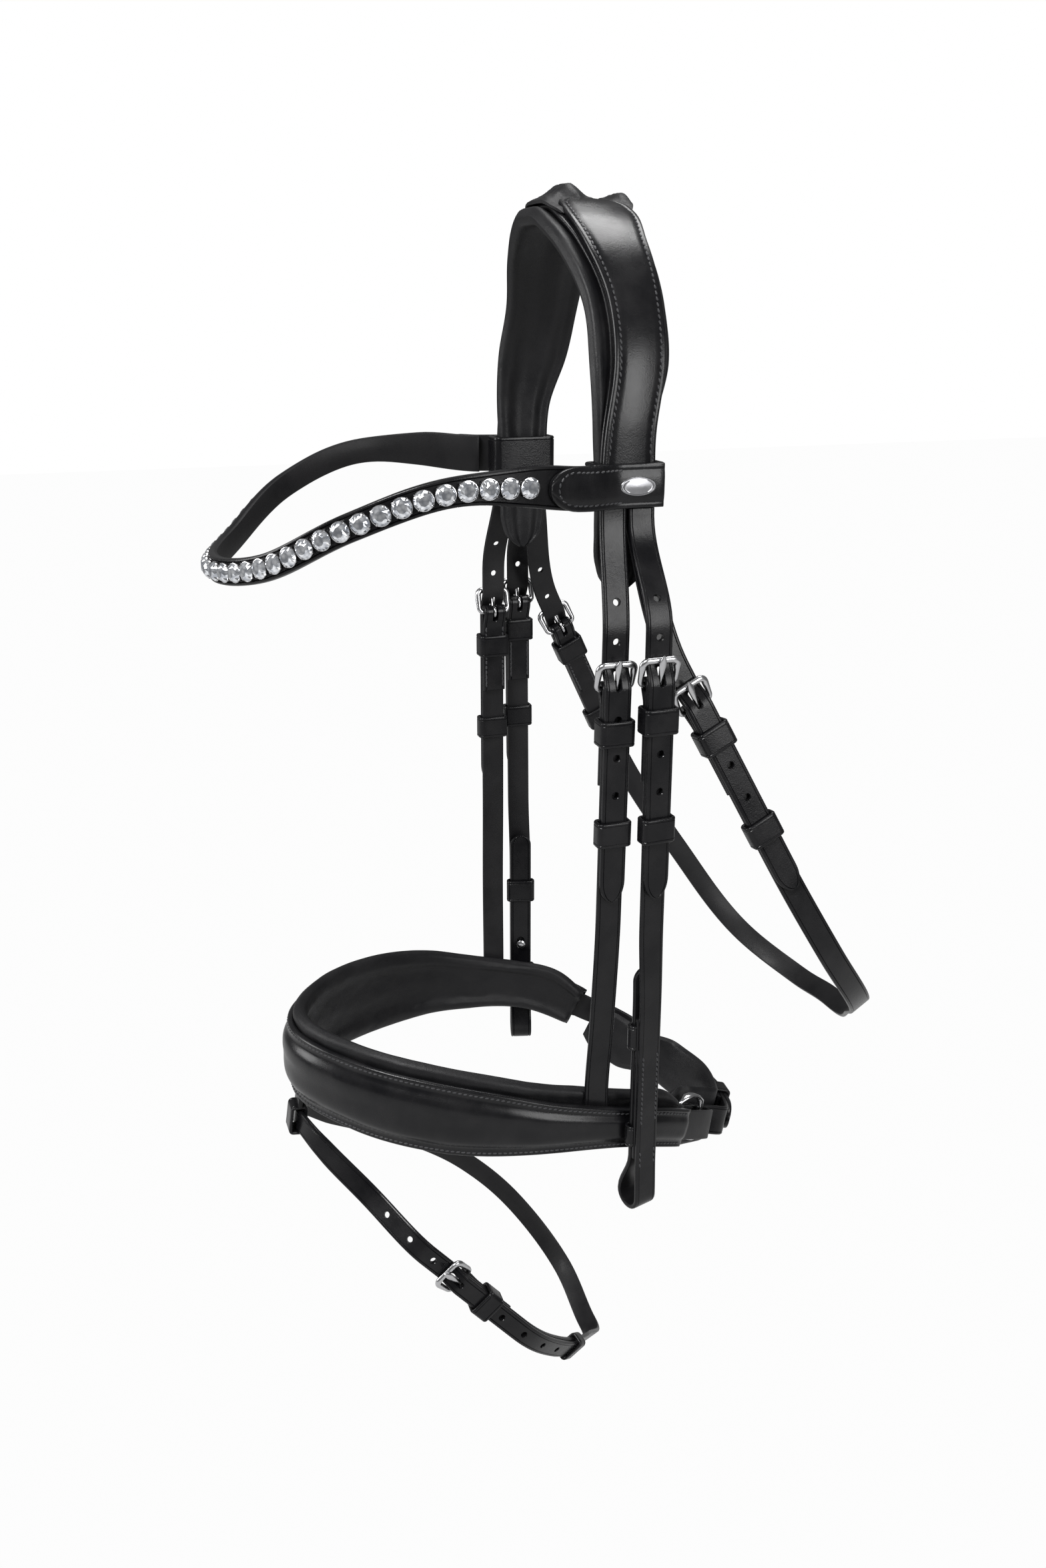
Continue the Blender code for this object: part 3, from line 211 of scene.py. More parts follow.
class Route:
    """A smooth line in space with a width direction, read by distance."""

    SAMPLES = 24

    def __init__(self, stops, closed=False):
        """Make a route.

        Args:
            stops: (point, width direction, tangent or nothing) for each stop.
            closed: whether the line ends where it starts.
        """
        self.closed = closed
        points = [np.array(stop[0], float) for stop in stops]
        widths = [np.array(stop[1], float) for stop in stops]
        given = [stop[2] if len(stop) > 2 else None for stop in stops]
        if closed:
            points, widths, given = points + points[:1], widths + widths[:1], given + given[:1]
        tangents = self.tangents(points, given)
        line, side = [points[0]], [widths[0]]
        for i in range(len(points) - 1):
            chord = np.linalg.norm(points[i + 1] - points[i])
            for t in np.linspace(0, 1, self.SAMPLES + 1)[1:]:
                line.append(hermite(t, points[i], points[i + 1],
                                    tangents[i] * chord, tangents[i + 1] * chord))
                share = t * t * (3 - 2 * t)
                side.append(widths[i] * (1 - share) + widths[i + 1] * share)
        self.line, side = np.array(line), np.array(side)
        steps = np.diff(self.line, axis=0)
        lengths = np.linalg.norm(steps, axis=1)
        self.distance = np.r_[0.0, np.cumsum(lengths)]
        self.length = float(self.distance[-1])
        self.marks = [self.distance[i * self.SAMPLES] for i in range(len(points))]
        run = steps / lengths[:, None]
        if closed:
            along = np.vstack([run[-1:] + run[:1], run[:-1] + run[1:], run[-1:] + run[:1]])
        else:
            along = np.vstack([run[:1], run[:-1] + run[1:], run[-1:]])
        self.along = along / np.linalg.norm(along, axis=1)[:, None]
        side = side - self.along * np.sum(side * self.along, axis=1)[:, None]
        self.side = side / np.linalg.norm(side, axis=1)[:, None]

    def tangents(self, points, given):
        """Unit tangents: the given ones, or a smooth choice from the chords."""
        found, last = [], len(points) - 1
        for i, choice in enumerate(given):
            if choice is not None:
                tangent = np.array(choice, float)
            elif self.closed and i in (0, last):
                tangent = points[1] - points[last - 1]
            elif i in (0, last):
                tangent = points[min(i + 1, last)] - points[max(i - 1, 0)]
            else:
                before, after = points[i] - points[i - 1], points[i + 1] - points[i]
                lb, la = np.linalg.norm(before), np.linalg.norm(after)
                tangent = before / lb * la + after / la * lb
            found.append(tangent / np.linalg.norm(tangent))
        return found

    def frames(self, s):
        """Points, directions, width directions and outward directions at s.

        Args:
            s: distances along the route, in an array.
        Returns:
            Four arrays of vectors.
        """
        s = np.asarray(s, float)
        if self.closed:
            s = s % self.length
        inside = np.clip(s, 0.0, self.length)
        read = lambda table: np.stack([np.interp(inside, self.distance, table[:, k])
                                       for k in range(3)], axis=-1)
        point, along, width = read(self.line), read(self.along), read(self.side)
        along /= np.linalg.norm(along, axis=-1, keepdims=True)
        width -= along * np.sum(width * along, axis=-1, keepdims=True)
        width /= np.linalg.norm(width, axis=-1, keepdims=True)
        point = point + along * (s - inside)[..., None]
        return point, along, width, np.cross(along, width)

    def frame(self, s):
        """Point, direction, width direction and outward direction at one s."""
        return tuple(part[0] for part in self.frames(np.array([s])))

    def place(self, s, n, v):
        """Points at distances s, n outward and v across the width."""
        point, _, width, out = self.frames(s)
        return point + np.asarray(n)[..., None] * out + np.asarray(v)[..., None] * width

    def nearest_height(self, z):
        """Distance along the route at which it first comes down to height z."""
        i = max(int(np.nonzero(self.line[:, 2] <= z)[0][0]), 1)
        high, low = self.line[i - 1, 2], self.line[i, 2]
        share = (high - z) / (high - low)
        return float(self.distance[i - 1] + share * (self.distance[i] - self.distance[i - 1]))


class SidePath:
    """How one layer runs, as points of (distance s, outward n)."""

    def __init__(self, points):
        """Make a path from (s, n) points."""
        self.points = np.array(points, float)
        steps = np.linalg.norm(np.diff(self.points, axis=0), axis=1)
        self.q = np.r_[0.0, np.cumsum(steps)]
        self.length = float(self.q[-1])
        run = np.diff(self.points, axis=0) / steps[:, None]
        corner = np.vstack([run[:1], run[:-1] + run[1:], run[-1:]])
        self.heading = corner / np.linalg.norm(corner, axis=1)[:, None]

    def at(self, q):
        """Places (s, n) and headings of the layer's middle at blank lengths q."""
        q = np.asarray(q, float)
        inside = np.clip(q, 0.0, self.length)
        s, n = (np.interp(inside, self.q, self.points[:, k]) for k in (0, 1))
        heading = np.stack([np.interp(inside, self.q, self.heading[:, k]) for k in (0, 1)], -1)
        heading /= np.linalg.norm(heading, axis=-1, keepdims=True)
        return s + heading[..., 0] * (q - inside), n + heading[..., 1] * (q - inside), heading

    def q_at(self, s, first=True):
        """Blank length at which the layer passes distance s."""
        span = range(len(self.q) - 1) if first else range(len(self.q) - 2, -1, -1)
        for i in span:
            a, b = self.points[i, 0], self.points[i + 1, 0]
            if min(a, b) <= s <= max(a, b) and a != b:
                return self.q[i] + (s - a) / (b - a) * (self.q[i + 1] - self.q[i])
        raise ValueError("the layer does not pass there")

    def lay(self, route, q, v, t):
        """Points in space of blank points (q, v, t)."""
        s, n, heading = self.at(q)
        return route.place(s - heading[..., 1] * t, n + heading[..., 0] * t, v)


# ------------------------------------------------------------- cross-sections

Section = Callable[[float, float, float], list]


def both_sides(entries, low, high, thick):
    """Points (v, t) from one edge over the top and back underneath.

    Args:
        entries: (inset from the edge, level as a share of half the thickness,
            extra lift) from the edge inwards; negative levels are the underside.
        low, high: the edges.
        thick: thickness.
    """
    deepest = max(e[0] for e in entries)
    fit = min(1.0, (high - low) / 2 / (deepest + 0.2))
    top = [e for e in entries if e[1] > -0.2]
    under = [e for e in entries if e[1] <= -0.2]
    half = thick / 2
    points = [(low + e[0] * fit, e[1] * half + e[2] * fit) for e in top]
    points += [(high - e[0] * fit, e[1] * half + e[2] * fit) for e in reversed(top)]
    points += [(high - e[0] * fit, e[1] * half) for e in under]
    points += [(low + e[0] * fit, e[1] * half) for e in reversed(under)]
    return points


def strap_section(low, high, thick):
    """Strap with rounded edges and a creased line along each edge."""
    return both_sides([(0.0, 0.0, 0), (0.1, 0.5, 0), (0.4, 0.87, 0), (0.85, 1.0, 0), (1.5, 1.0, 0),
                       (1.8, 0.74, 0), (2.1, 1.0, 0), (0.1, -0.5, 0), (0.4, -0.9, 0),
                       (0.85, -1.0, 0)], low, high, thick)


def plain_section(low, high, thick):
    """Layer with rounded edges."""
    return both_sides([(0.0, 0.0, 0), (0.1, 0.5, 0), (0.4, 0.87, 0), (0.85, 1.0, 0),
                       (0.1, -0.5, 0), (0.4, -0.9, 0), (0.85, -1.0, 0)], low, high, thick)


def overlay_section(low, high, thick):
    """Wide overlay: a flat stitched border round a softly raised middle."""
    entries = [(0.0, 0.0, 0), (0.1, 0.5, 0), (0.4, 0.87, 0), (0.85, 1.0, 0), (2.2, 1.0, 0),
               (2.7, 0.88, 0), (3.2, 1.0, 0), (4.6, 1.0, 0.45), (6.5, 1.0, 0.75),
               (0.1, -0.5, 0), (0.4, -0.9, 0), (0.85, -1.0, 0)]
    dome = float(ease((high - low - 14.0) / 8.0))
    return both_sides([(a, b, c * dome) for a, b, c in entries], low, high, thick)


# ---------------------------------------------------------------- mesh makers

def link(obj):
    """Put an object in the scene and return it."""
    bpy.context.scene.collection.objects.link(obj)
    return obj


def mesh_object(name, verts, faces, lay=None, sharp=35.0, flip=False):
    """Make an object from points in millimetres.

    Args:
        name: object name.
        verts: points in space, in millimetres.
        faces: vertex indices of each face.
        lay: blank coordinates of each point, in millimetres.
        sharp: angle over which an edge is shaded sharp; 0 shades flat.
        flip: mirror the mesh in X.
    Returns:
        The new object.
    """
    verts = np.array(verts, float) * MM
    if flip:
        verts[:, 0] *= -1
    mesh = bpy.data.meshes.new(name)
    mesh.from_pydata(verts.tolist(), [], [tuple(int(i) for i in f) for f in faces])
    bm = bmesh.new()
    bm.from_mesh(mesh)
    bmesh.ops.recalc_face_normals(bm, faces=bm.faces)
    bm.to_mesh(mesh)
    bm.free()
    if lay is not None:
        store = mesh.attributes.new("lay", "FLOAT_VECTOR", "POINT")
        store.data.foreach_set("vector", (np.array(lay, float) * MM).ravel())
    if sharp > 0:
        mesh.shade_smooth()
        mesh.set_sharp_from_angle(angle=math.radians(sharp))
    mesh.update()
    return link(bpy.data.objects.new(name, mesh))


def grid_faces(rows, columns, closed_rows=False, caps=True):
    """Faces of a tube made of rows of points, each row a closed ring."""
    faces = []
    for i in range(rows if closed_rows else rows - 1):
        a, b = i * columns, ((i + 1) % rows) * columns
        for j in range(columns):
            k = (j + 1) % columns
            faces.append((a + j, a + k, b + k, b + j))
    if caps and not closed_rows:
        faces.append(tuple(reversed(range(columns))))
        faces.append(tuple((rows - 1) * columns + j for j in range(columns)))
    return faces


def tube(points, across, deep, up, closed=False, sides=14):
    """Points and faces of a bar with an oval cut, swept along points.

    Args:
        points: the bar's middle line.
        across, deep: the cut's radii along up and square to it, per point.
        up: a direction square to the line.
        closed: whether the bar is a ring.
    """
    points = np.array(points, float)
    count = len(points)
    ahead = np.roll(points, -1, 0) - points
    behind = points - np.roll(points, 1, 0)
    if not closed:
        ahead[-1], behind[0] = behind[-1], ahead[0]
    along = ahead / np.linalg.norm(ahead, axis=1)[:, None]
    along = along + behind / np.linalg.norm(behind, axis=1)[:, None]
    along /= np.linalg.norm(along, axis=1)[:, None]
    up = np.tile(np.array(up, float), (count, 1))
    up -= along * np.sum(up * along, axis=1)[:, None]
    up /= np.linalg.norm(up, axis=1)[:, None]
    out = np.cross(along, up)
    verts = []
    for i in range(count):
        for a in np.linspace(0, 2 * math.pi, sides, endpoint=False):
            verts.append(points[i] + up[i] * across[i] * math.cos(a) + out[i] * deep[i] * math.sin(a))
    return verts, grid_faces(count, sides, closed)


def hole_tool(shape, thick):
    """A punch with a flare that leaves a worn rim round the hole."""
    rings = [(-2 * thick, 1.0), (thick / 2 - 0.4, 1.0), (thick / 2 + 0.1, 1.24), (2 * thick, 1.24)]
    middle = np.mean(shape, axis=0)
    reach = np.ptp(np.array(shape)[:, 1]) / 2
    verts = []
    for t, grow in rings:
        for q, v in shape:
            off = np.array((q, v)) - middle
            length = np.linalg.norm(off)
            scale = 1 + (grow - 1) * reach / length
            verts.append((*(middle + off * scale), t))
    return verts, grid_faces(len(rings), len(shape))


def slot_shape(centre, half_length, radius):
    """Outline of a round hole, or of a slot where half_length is over radius."""
    reach = max(half_length - radius, 0.0)
    if reach < 1e-6:
        return arc((centre, 0.0), radius, 11.25, 371.25 - 22.5, 16)
    return arc((centre + reach, 0.0), radius, -84, 84, 8) + arc((centre - reach, 0.0), radius, 96, 264, 8)


def punched(verts, faces, holes, thick):
    """Cut holes through a flat blank and return its new points and faces."""
    pieces = []
    for name, (points, sides) in (("blank", (verts, faces)), ("punch", joined_tools(holes, thick))):
        mesh = bpy.data.meshes.new(name)
        mesh.from_pydata([tuple(p) for p in points], [], [tuple(f) for f in sides])
        bm = bmesh.new()
        bm.from_mesh(mesh)
        bmesh.ops.recalc_face_normals(bm, faces=bm.faces)
        bm.to_mesh(mesh)
        bm.free()
        pieces.append(link(bpy.data.objects.new(name, mesh)))
    cut = pieces[0].modifiers.new("holes", "BOOLEAN")
    cut.operation, cut.solver, cut.object = "DIFFERENCE", "EXACT", pieces[1]
    graph = bpy.context.evaluated_depsgraph_get()
    result = bpy.data.meshes.new_from_object(pieces[0].evaluated_get(graph))
    bm = bmesh.new()
    bm.from_mesh(result)
    bmesh.ops.triangulate(bm, faces=[f for f in bm.faces if len(f.verts) > 4])
    points = [tuple(v.co) for v in bm.verts]
    sides = [[v.index for v in f.verts] for f in bm.faces]
    bm.free()
    for obj in pieces:
        bpy.data.objects.remove(obj)
    return points, sides


def joined_tools(holes, thick):
    """All of a blank's punches as one mesh."""
    verts, faces = [], []
    for shape in holes:
        points, sides = hole_tool(shape, thick)
        faces += [tuple(i + len(verts) for i in f) for f in sides]
        verts += points
    return verts, faces


@dataclass
class Blank:
    """A strap cut flat and then laid along its route."""

    route: Route
    path: SidePath
    rows: Sequence
    thick: float = LEATHER
    section: Section = strap_section
    holes: Sequence = ()
    step: float = 4.0
    smooth: bool = False

    def stations(self):
        """Blank lengths of the rows: even steps, bends, ends and shaped edges."""
        table = np.array(self.rows, float)
        first, last = table[0, 0], table[-1, 0]
        bends = self.path.q[(self.path.q > first + 0.2) & (self.path.q < last - 0.2)]
        ends = [first, first + 0.25, first + 0.8, last - 0.8, last - 0.25, last]
        even = np.linspace(first, last, max(int((last - first) / self.step), 2) + 1)[1:-1]
        own = [] if self.smooth else list(table[:, 0])
        fixed = sorted(set(ends + list(bends) + own))
        extra = [q for q in even if min(abs(q - f) for f in fixed) > 0.35 * self.step]
        merged = sorted(fixed + extra)
        return np.array([q for i, q in enumerate(merged) if i == 0 or q - merged[i - 1] > 0.12])

    def flat(self):
        """Points (q, v, t) and faces of the flat blank."""
        table = np.array(self.rows, float)
        at = self.stations()
        if self.smooth:
            low, high = (smooth_values(at, table[:, 0], table[:, k]) for k in (1, 2))
        else:
            low, high = (np.interp(at, table[:, 0], table[:, k]) for k in (1, 2))
        verts, columns = [], 0
        for q, a, b in zip(at, low, high):
            edge = min(q - at[0], at[-1] - q)
            worn = 0.62 + 0.38 * math.sqrt(max(1 - (1 - min(edge / 0.8, 1.0)) ** 2, 0.0))
            cut = self.section(a, b, self.thick) if self.section.__code__.co_argcount == 3 \
                else self.section(a, b, self.thick, q)
            columns = len(cut)
            verts += [(q, v, t * worn) for v, t in cut]
        return verts, grid_faces(len(at), columns)

    def build(self, name, flip=False):
        """Make the laid strap.

        Args:
            name: object name.
            flip: mirror it to the other side.
        Returns:
            The new object.
        """
        verts, faces = self.flat()
        if len(self.holes):
            verts, faces = punched(verts, faces, self.holes, self.thick)
        flat = np.array(verts, float)
        laid = self.path.lay(self.route, flat[:, 0], flat[:, 1], flat[:, 2])
        LOG.info("%s: %d points", name, len(flat))
        return mesh_object(name, laid, faces, flat, flip=flip)


def strap_edges(length, width, start="square", end="square"):
    """A strap's edges as rows of (length, low, high), with shaped ends."""
    half = width / 2
    around = np.radians(np.linspace(6, 90, 9))
    curve = {"square": [(0.0, 1.0)],
             "round": [(1 - math.cos(a), math.sin(a)) for a in around],
             "tip": [(1.7 * (1 - math.cos(a)), math.sin(a) ** 0.9) for a in around]}
    rows = [(along * half, -share * half, share * half) for along, share in curve[start]]
    last = [(length - along * half, -share * half, share * half) for along, share in curve[end]]
    return rows + last[::-1]


# ------------------------------------------------------------------ stitching

class Thread:
    """Collects a body's stitches and makes them as one piece."""

    PITCH = 2.9

    def __init__(self, name, body):
        """Start a body's stitching."""
        self.name, self.body = name, body
        self.verts, self.faces = [], []

    def one(self, point, along, across, out, length=1.3, width=0.56, height=0.5):
        """Add one raised stitch, slightly slanted."""
        slant = 0.2
        lean = along + across * slant
        lean = lean / np.linalg.norm(lean)
        side = np.cross(out, lean)
        start = len(self.verts)
        rings = [(-0.72, 0.7), (0.0, 1.0), (0.72, 0.7)]
        self.verts.append(point - lean * length - out * 0.15)
        for along_share, size in rings:
            for a in np.linspace(0, 2 * math.pi, 6, endpoint=False):
                self.verts.append(point + lean * length * along_share
                                  + side * width * size * math.cos(a)
                                  + out * height * size * (0.2 + math.sin(a)))
        self.verts.append(point + lean * length - out * 0.15)
        for j in range(6):
            k = (j + 1) % 6
            self.faces.append((start, start + 1 + k, start + 1 + j))
            for ring in (0, 1):
                a = start + 1 + ring * 6
                self.faces.append((a + j, a + k, a + 6 + k, a + 6 + j))
            self.faces.append((start + 13 + j, start + 13 + k, start + 19))

    def row(self, route, path, q0, q1, v, t, flip=False, pitch=PITCH):
        """Add a row of stitches along a laid strap.

        Args:
            route, path: where the strap lies.
            q0, q1: ends of the row.
            v: place across, a number or a function of q.
            t: height through the strap, a number or a function of q.
            flip: mirror to the other side.
        """
        count = max(int(abs(q1 - q0) / pitch), 1)
        at = q0 + (np.arange(count) + 0.5) * (q1 - q0) / count
        across = np.array([v(q) if callable(v) else v for q in at], float)
        level = np.array([t(q) if callable(t) else t for q in at], float)
        here = path.lay(route, at, across, level)
        ahead = path.lay(route, at + 0.5, across, level)
        beside = path.lay(route, at, across + 0.5, level)
        sign = 1.0 if np.mean(level) >= 0 else -1.0
        for p, a, b in zip(here, ahead, beside):
            along, width = (a - p), (b - p)
            along, width = along / np.linalg.norm(along), width / np.linalg.norm(width)
            out = np.cross(along, width) * sign
            if flip:
                p, along, width, out = (x * np.array((-1, 1, 1)) for x in (p, along, width, out))
            self.one(p, along, width, out)

    def loop(self, points, outs):
        """Add stitches at points in space, along the line that they make."""
        points = np.array(points, float)
        for i in range(len(points) - 1):
            along = points[i + 1] - points[i]
            along = along / np.linalg.norm(along)
            self.one((points[i] + points[i + 1]) / 2, along, np.cross(outs[i], along), outs[i])

    def build(self):
        """Make the stitching and let it ride on its body."""
        piece = mesh_object(self.name, self.verts, self.faces, np.array(self.verts))
        Finish.THREAD.on(piece)
        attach(piece, self.body)
        return piece


# -------------------------------------------------------------------- finishes

class Node:
    """One output socket, with sums and products written as plain operators."""

    def __init__(self, tree, socket):
        """Wrap a socket of a node tree."""
        self.tree, self.socket = tree, socket

    def math(self, operation, other=None, third=None, clamp=False):
        """Apply a Math node to this value."""
        node = self.tree.nodes.new("ShaderNodeMath")
        node.operation, node.use_clamp = operation, clamp
        for slot, value in zip(node.inputs, (self, other, third)):
            if isinstance(value, Node):
                self.tree.links.new(value.socket, slot)
            elif value is not None:
                slot.default_value = value
        return Node(self.tree, node.outputs[0])

    def __add__(self, other):
        """Sum."""
        return self.math("ADD", other)

    def __sub__(self, other):
        """Difference."""
        return self.math("SUBTRACT", other)

    def __mul__(self, other):
        """Product."""
        return self.math("MULTIPLY", other)

    def __truediv__(self, other):
        """Quotient."""
        return self.math("DIVIDE", other)

    def __rsub__(self, other):
        """A number minus this value."""
        return self.math("MULTIPLY", -1.0).math("ADD", other)

    __radd__, __rmul__ = __add__, __mul__

    def over(self, low, high):
        """This value's place between two levels, held within 0 and 1."""
        return ((self - low) / (high - low)).math("ADD", 0.0, clamp=True)


class Shader:
    """A material's node tree, with one method for any node."""

    def __init__(self, name):
        """Start a material with a principled surface."""
        self.material = bpy.data.materials.new(name)
        self.material.use_nodes = True
        self.tree = self.material.node_tree
        self.surface = self.tree.nodes["Principled BSDF"]

    def node(self, kind, output=0, settings=None, **inputs):
        """Add a node.

        Args:
            kind: node type.
            output: which output is returned, by name or place.
            settings: properties of the node.
            inputs: values or sockets by input name, with spaces as underscores.
        Returns:
            The output, wrapped.
        """
        node = self.tree.nodes.new(kind)
        for key, value in (settings or {}).items():
            setattr(node, key, value)
        for key, value in inputs.items():
            self.join(node.inputs[key.replace("_", " ")], value)
        return Node(self.tree, node.outputs[output])

    def join(self, slot, value):
        """Link a socket, or set a number."""
        if isinstance(value, Node):
            self.tree.links.new(value.socket, slot)
        else:
            slot.default_value = value

    def set(self, **inputs):
        """Set or link inputs of the surface."""
        for key, value in inputs.items():
            self.join(self.surface.inputs[key.replace("_", " ")], value)

    def place(self):
        """The point's place on the object."""
        return self.node("ShaderNodeTexCoord", "Object")

    def lay(self):
        """The point's place on its flat blank."""
        return self.node("ShaderNodeAttribute", "Vector", {"attribute_name": "lay"})

    def noise(self, vector, scale, detail=3.0, rough=0.55):
        """Cloudy noise."""
        return self.node("ShaderNodeTexNoise", 0, None, Vector=vector, Scale=scale,
                         Detail=detail, Roughness=rough)

    def cells(self, vector, scale, feature="F1"):
        """Distances to the nearest of scattered points."""
        return self.node("ShaderNodeTexVoronoi", 0, {"feature": feature}, Vector=vector, Scale=scale)

    def mix(self, share, first, second):
        """Blend two colours."""
        node = self.tree.nodes.new("ShaderNodeMix")
        node.data_type = "RGBA"
        self.join(node.inputs["Factor"], share)
        self.join(node.inputs[6], first)
        self.join(node.inputs[7], second)
        return Node(self.tree, node.outputs[2])

    def bump(self, height, strength, distance):
        """Raise the surface by a height."""
        normal = self.node("ShaderNodeBump", 0, None, Height=height, Strength=strength,
                           Distance=distance)
        self.set(Normal=normal)


@dataclass(frozen=True)
class Leather:
    """Black leather: glossy grain side, duller edges and flesh side."""

    name: str
    base: tuple = (0.0035, 0.0035, 0.0042, 1.0)
    worn: tuple = (0.0085, 0.0083, 0.009, 1.0)
    gloss: float = 0.2
    spread: float = 0.09
    grain: float = 0.25
    coat: float = 0.04
    shine: float = 0.26
    wrinkle: float = 0.0

    def make(self):
        """Return the material."""
        shade = Shader(self.name)
        place, lay = shade.place(), shade.lay()
        through = shade.node("ShaderNodeSeparateXYZ", "Z", None, Vector=lay)
        clouds = shade.noise(place, 55.0, 4.0)
        pores = shade.cells(place, 1500.0)
        crumple = shade.noise(place, 320.0, 5.0, 0.62)
        flesh = 1.0 - through.over(-0.0013, -0.0004)
        tone = clouds.over(0.38, 0.7)
        shade.set(Base_Color=shade.mix((tone + flesh * 0.5).math("MINIMUM", 1.0), self.base, self.worn),
                  Roughness=self.gloss + tone * self.spread + flesh * 0.2 + crumple * 0.07,
                  Specular_IOR_Level=self.shine, Coat_Weight=self.coat, Coat_Roughness=0.2,
                  IOR=1.42)
        height = pores * self.grain + crumple * (0.45 + self.wrinkle)
        if self.wrinkle > 0:
            folds = shade.node("ShaderNodeTexNoise", 0, None, Vector=place, Scale=95.0, Detail=6.0,
                               Roughness=0.6, Distortion=0.6)
            height = height + folds * self.wrinkle * 5.0
        shade.bump(height, 0.35, 0.00035)
        return shade.material


@dataclass(frozen=True)
class Cord:
    """Waxed thread, with its twist."""

    name: str
    base: tuple = (0.016, 0.016, 0.018, 1.0)
    bright: tuple = (0.04, 0.04, 0.043, 1.0)

    def make(self):
        """Return the material."""
        shade = Shader(self.name)
        place = shade.place()
        twist = shade.node("ShaderNodeTexWave", 1, {"bands_direction": "DIAGONAL"}, Vector=place,
                           Scale=900.0, Distortion=1.5)
        cloud = shade.noise(place, 260.0)
        shade.set(Base_Color=shade.mix(cloud, self.base, self.bright),
                  Roughness=0.34 + cloud * 0.15, IOR=1.45)
        shade.bump(twist, 0.4, 0.00012)
        return shade.material


@dataclass(frozen=True)
class Metal:
    """Polished metal with faint wear."""

    name: str
    base: tuple = (0.55, 0.55, 0.56, 1.0)
    worn: tuple = (0.42, 0.42, 0.43, 1.0)
    rough: float = 0.16

    def make(self):
        """Return the material."""
        shade = Shader(self.name)
        place = shade.place()
        cloud = shade.noise(place, 140.0, 4.0)
        scratch = shade.noise(place, 1400.0, 3.0)
        shade.set(Base_Color=shade.mix(cloud, self.base, self.worn), Metallic=1.0,
                  Roughness=self.rough + cloud * 0.09 + scratch * 0.05)
        shade.bump(scratch, 0.12, 0.00006)
        return shade.material


@dataclass(frozen=True)
class Crystal:
    """Cut clear stones with a silvered back, with light and dark facet reflections painted into the
    colour.
    """

    name: str
    light: tuple = (0.93, 0.95, 0.98, 1.0)
    # colour of the painted dark facet reflections
    dark: tuple = (0.42, 0.44, 0.48, 1.0)

    def make(self):
        """Return the material."""
        shade = Shader(self.name)
        place = shade.place()
        # Voronoi cells paint light and dark facet reflections into the base colour; they are not the
        # stone's own colour.
        shards = shade.cells(place, 420.0)
        shade.set(Base_Color=shade.mix(shards.over(0.2, 0.75), self.light, self.dark),
                  Metallic=0.85, Roughness=0.03 + shards * 0.05, Coat_Weight=0.6,
                  Coat_Roughness=0.02, IOR=1.54)
        return shade.material


class Finish(Enum):
    """Everything the bridle is made of."""

    LEATHER = Leather("leather")
    OVERLAY = Leather("overlay_leather", gloss=0.19, spread=0.08, grain=0.2, coat=0.06, shine=0.3)
    PAD = Leather("pad_leather", base=(0.005, 0.005, 0.0058, 1.0), gloss=0.4, spread=0.12,
                  grain=0.4, coat=0.0, shine=0.3, wrinkle=0.55)
    THREAD = Cord("thread")
    STEEL = Metal("steel")
    SILVER = Metal("silver", base=(0.72, 0.72, 0.73, 1.0), rough=0.16)
    BADGE = Metal("badge_metal", base=(0.36, 0.36, 0.37, 1.0), worn=(0.2, 0.2, 0.21, 1.0),
                  rough=0.24)
    STONE = Crystal("stones")

    def on(self, piece):
        """Give a piece this finish."""
        material = bpy.data.materials.get(self.value.name) or self.value.make()
        piece.data.materials.clear()
        piece.data.materials.append(material)
        return piece


# ---------------------------------------------------------------- buckle sets

def settle(piece, body, finish, slot="leather_black", nodes=()):
    """Finish a piece, let it ride on its body and stand for its CAD nodes."""
    finish.on(piece)
    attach(piece, body)
    if nodes:
        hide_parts(*nodes)
    return piece


def low_of(n):
    """Inner face of a leather layer at level n."""
    return n - LEATHER / 2


def high_of(n):
    """Outer face of a leather layer at level n."""
    return n + LEATHER / 2


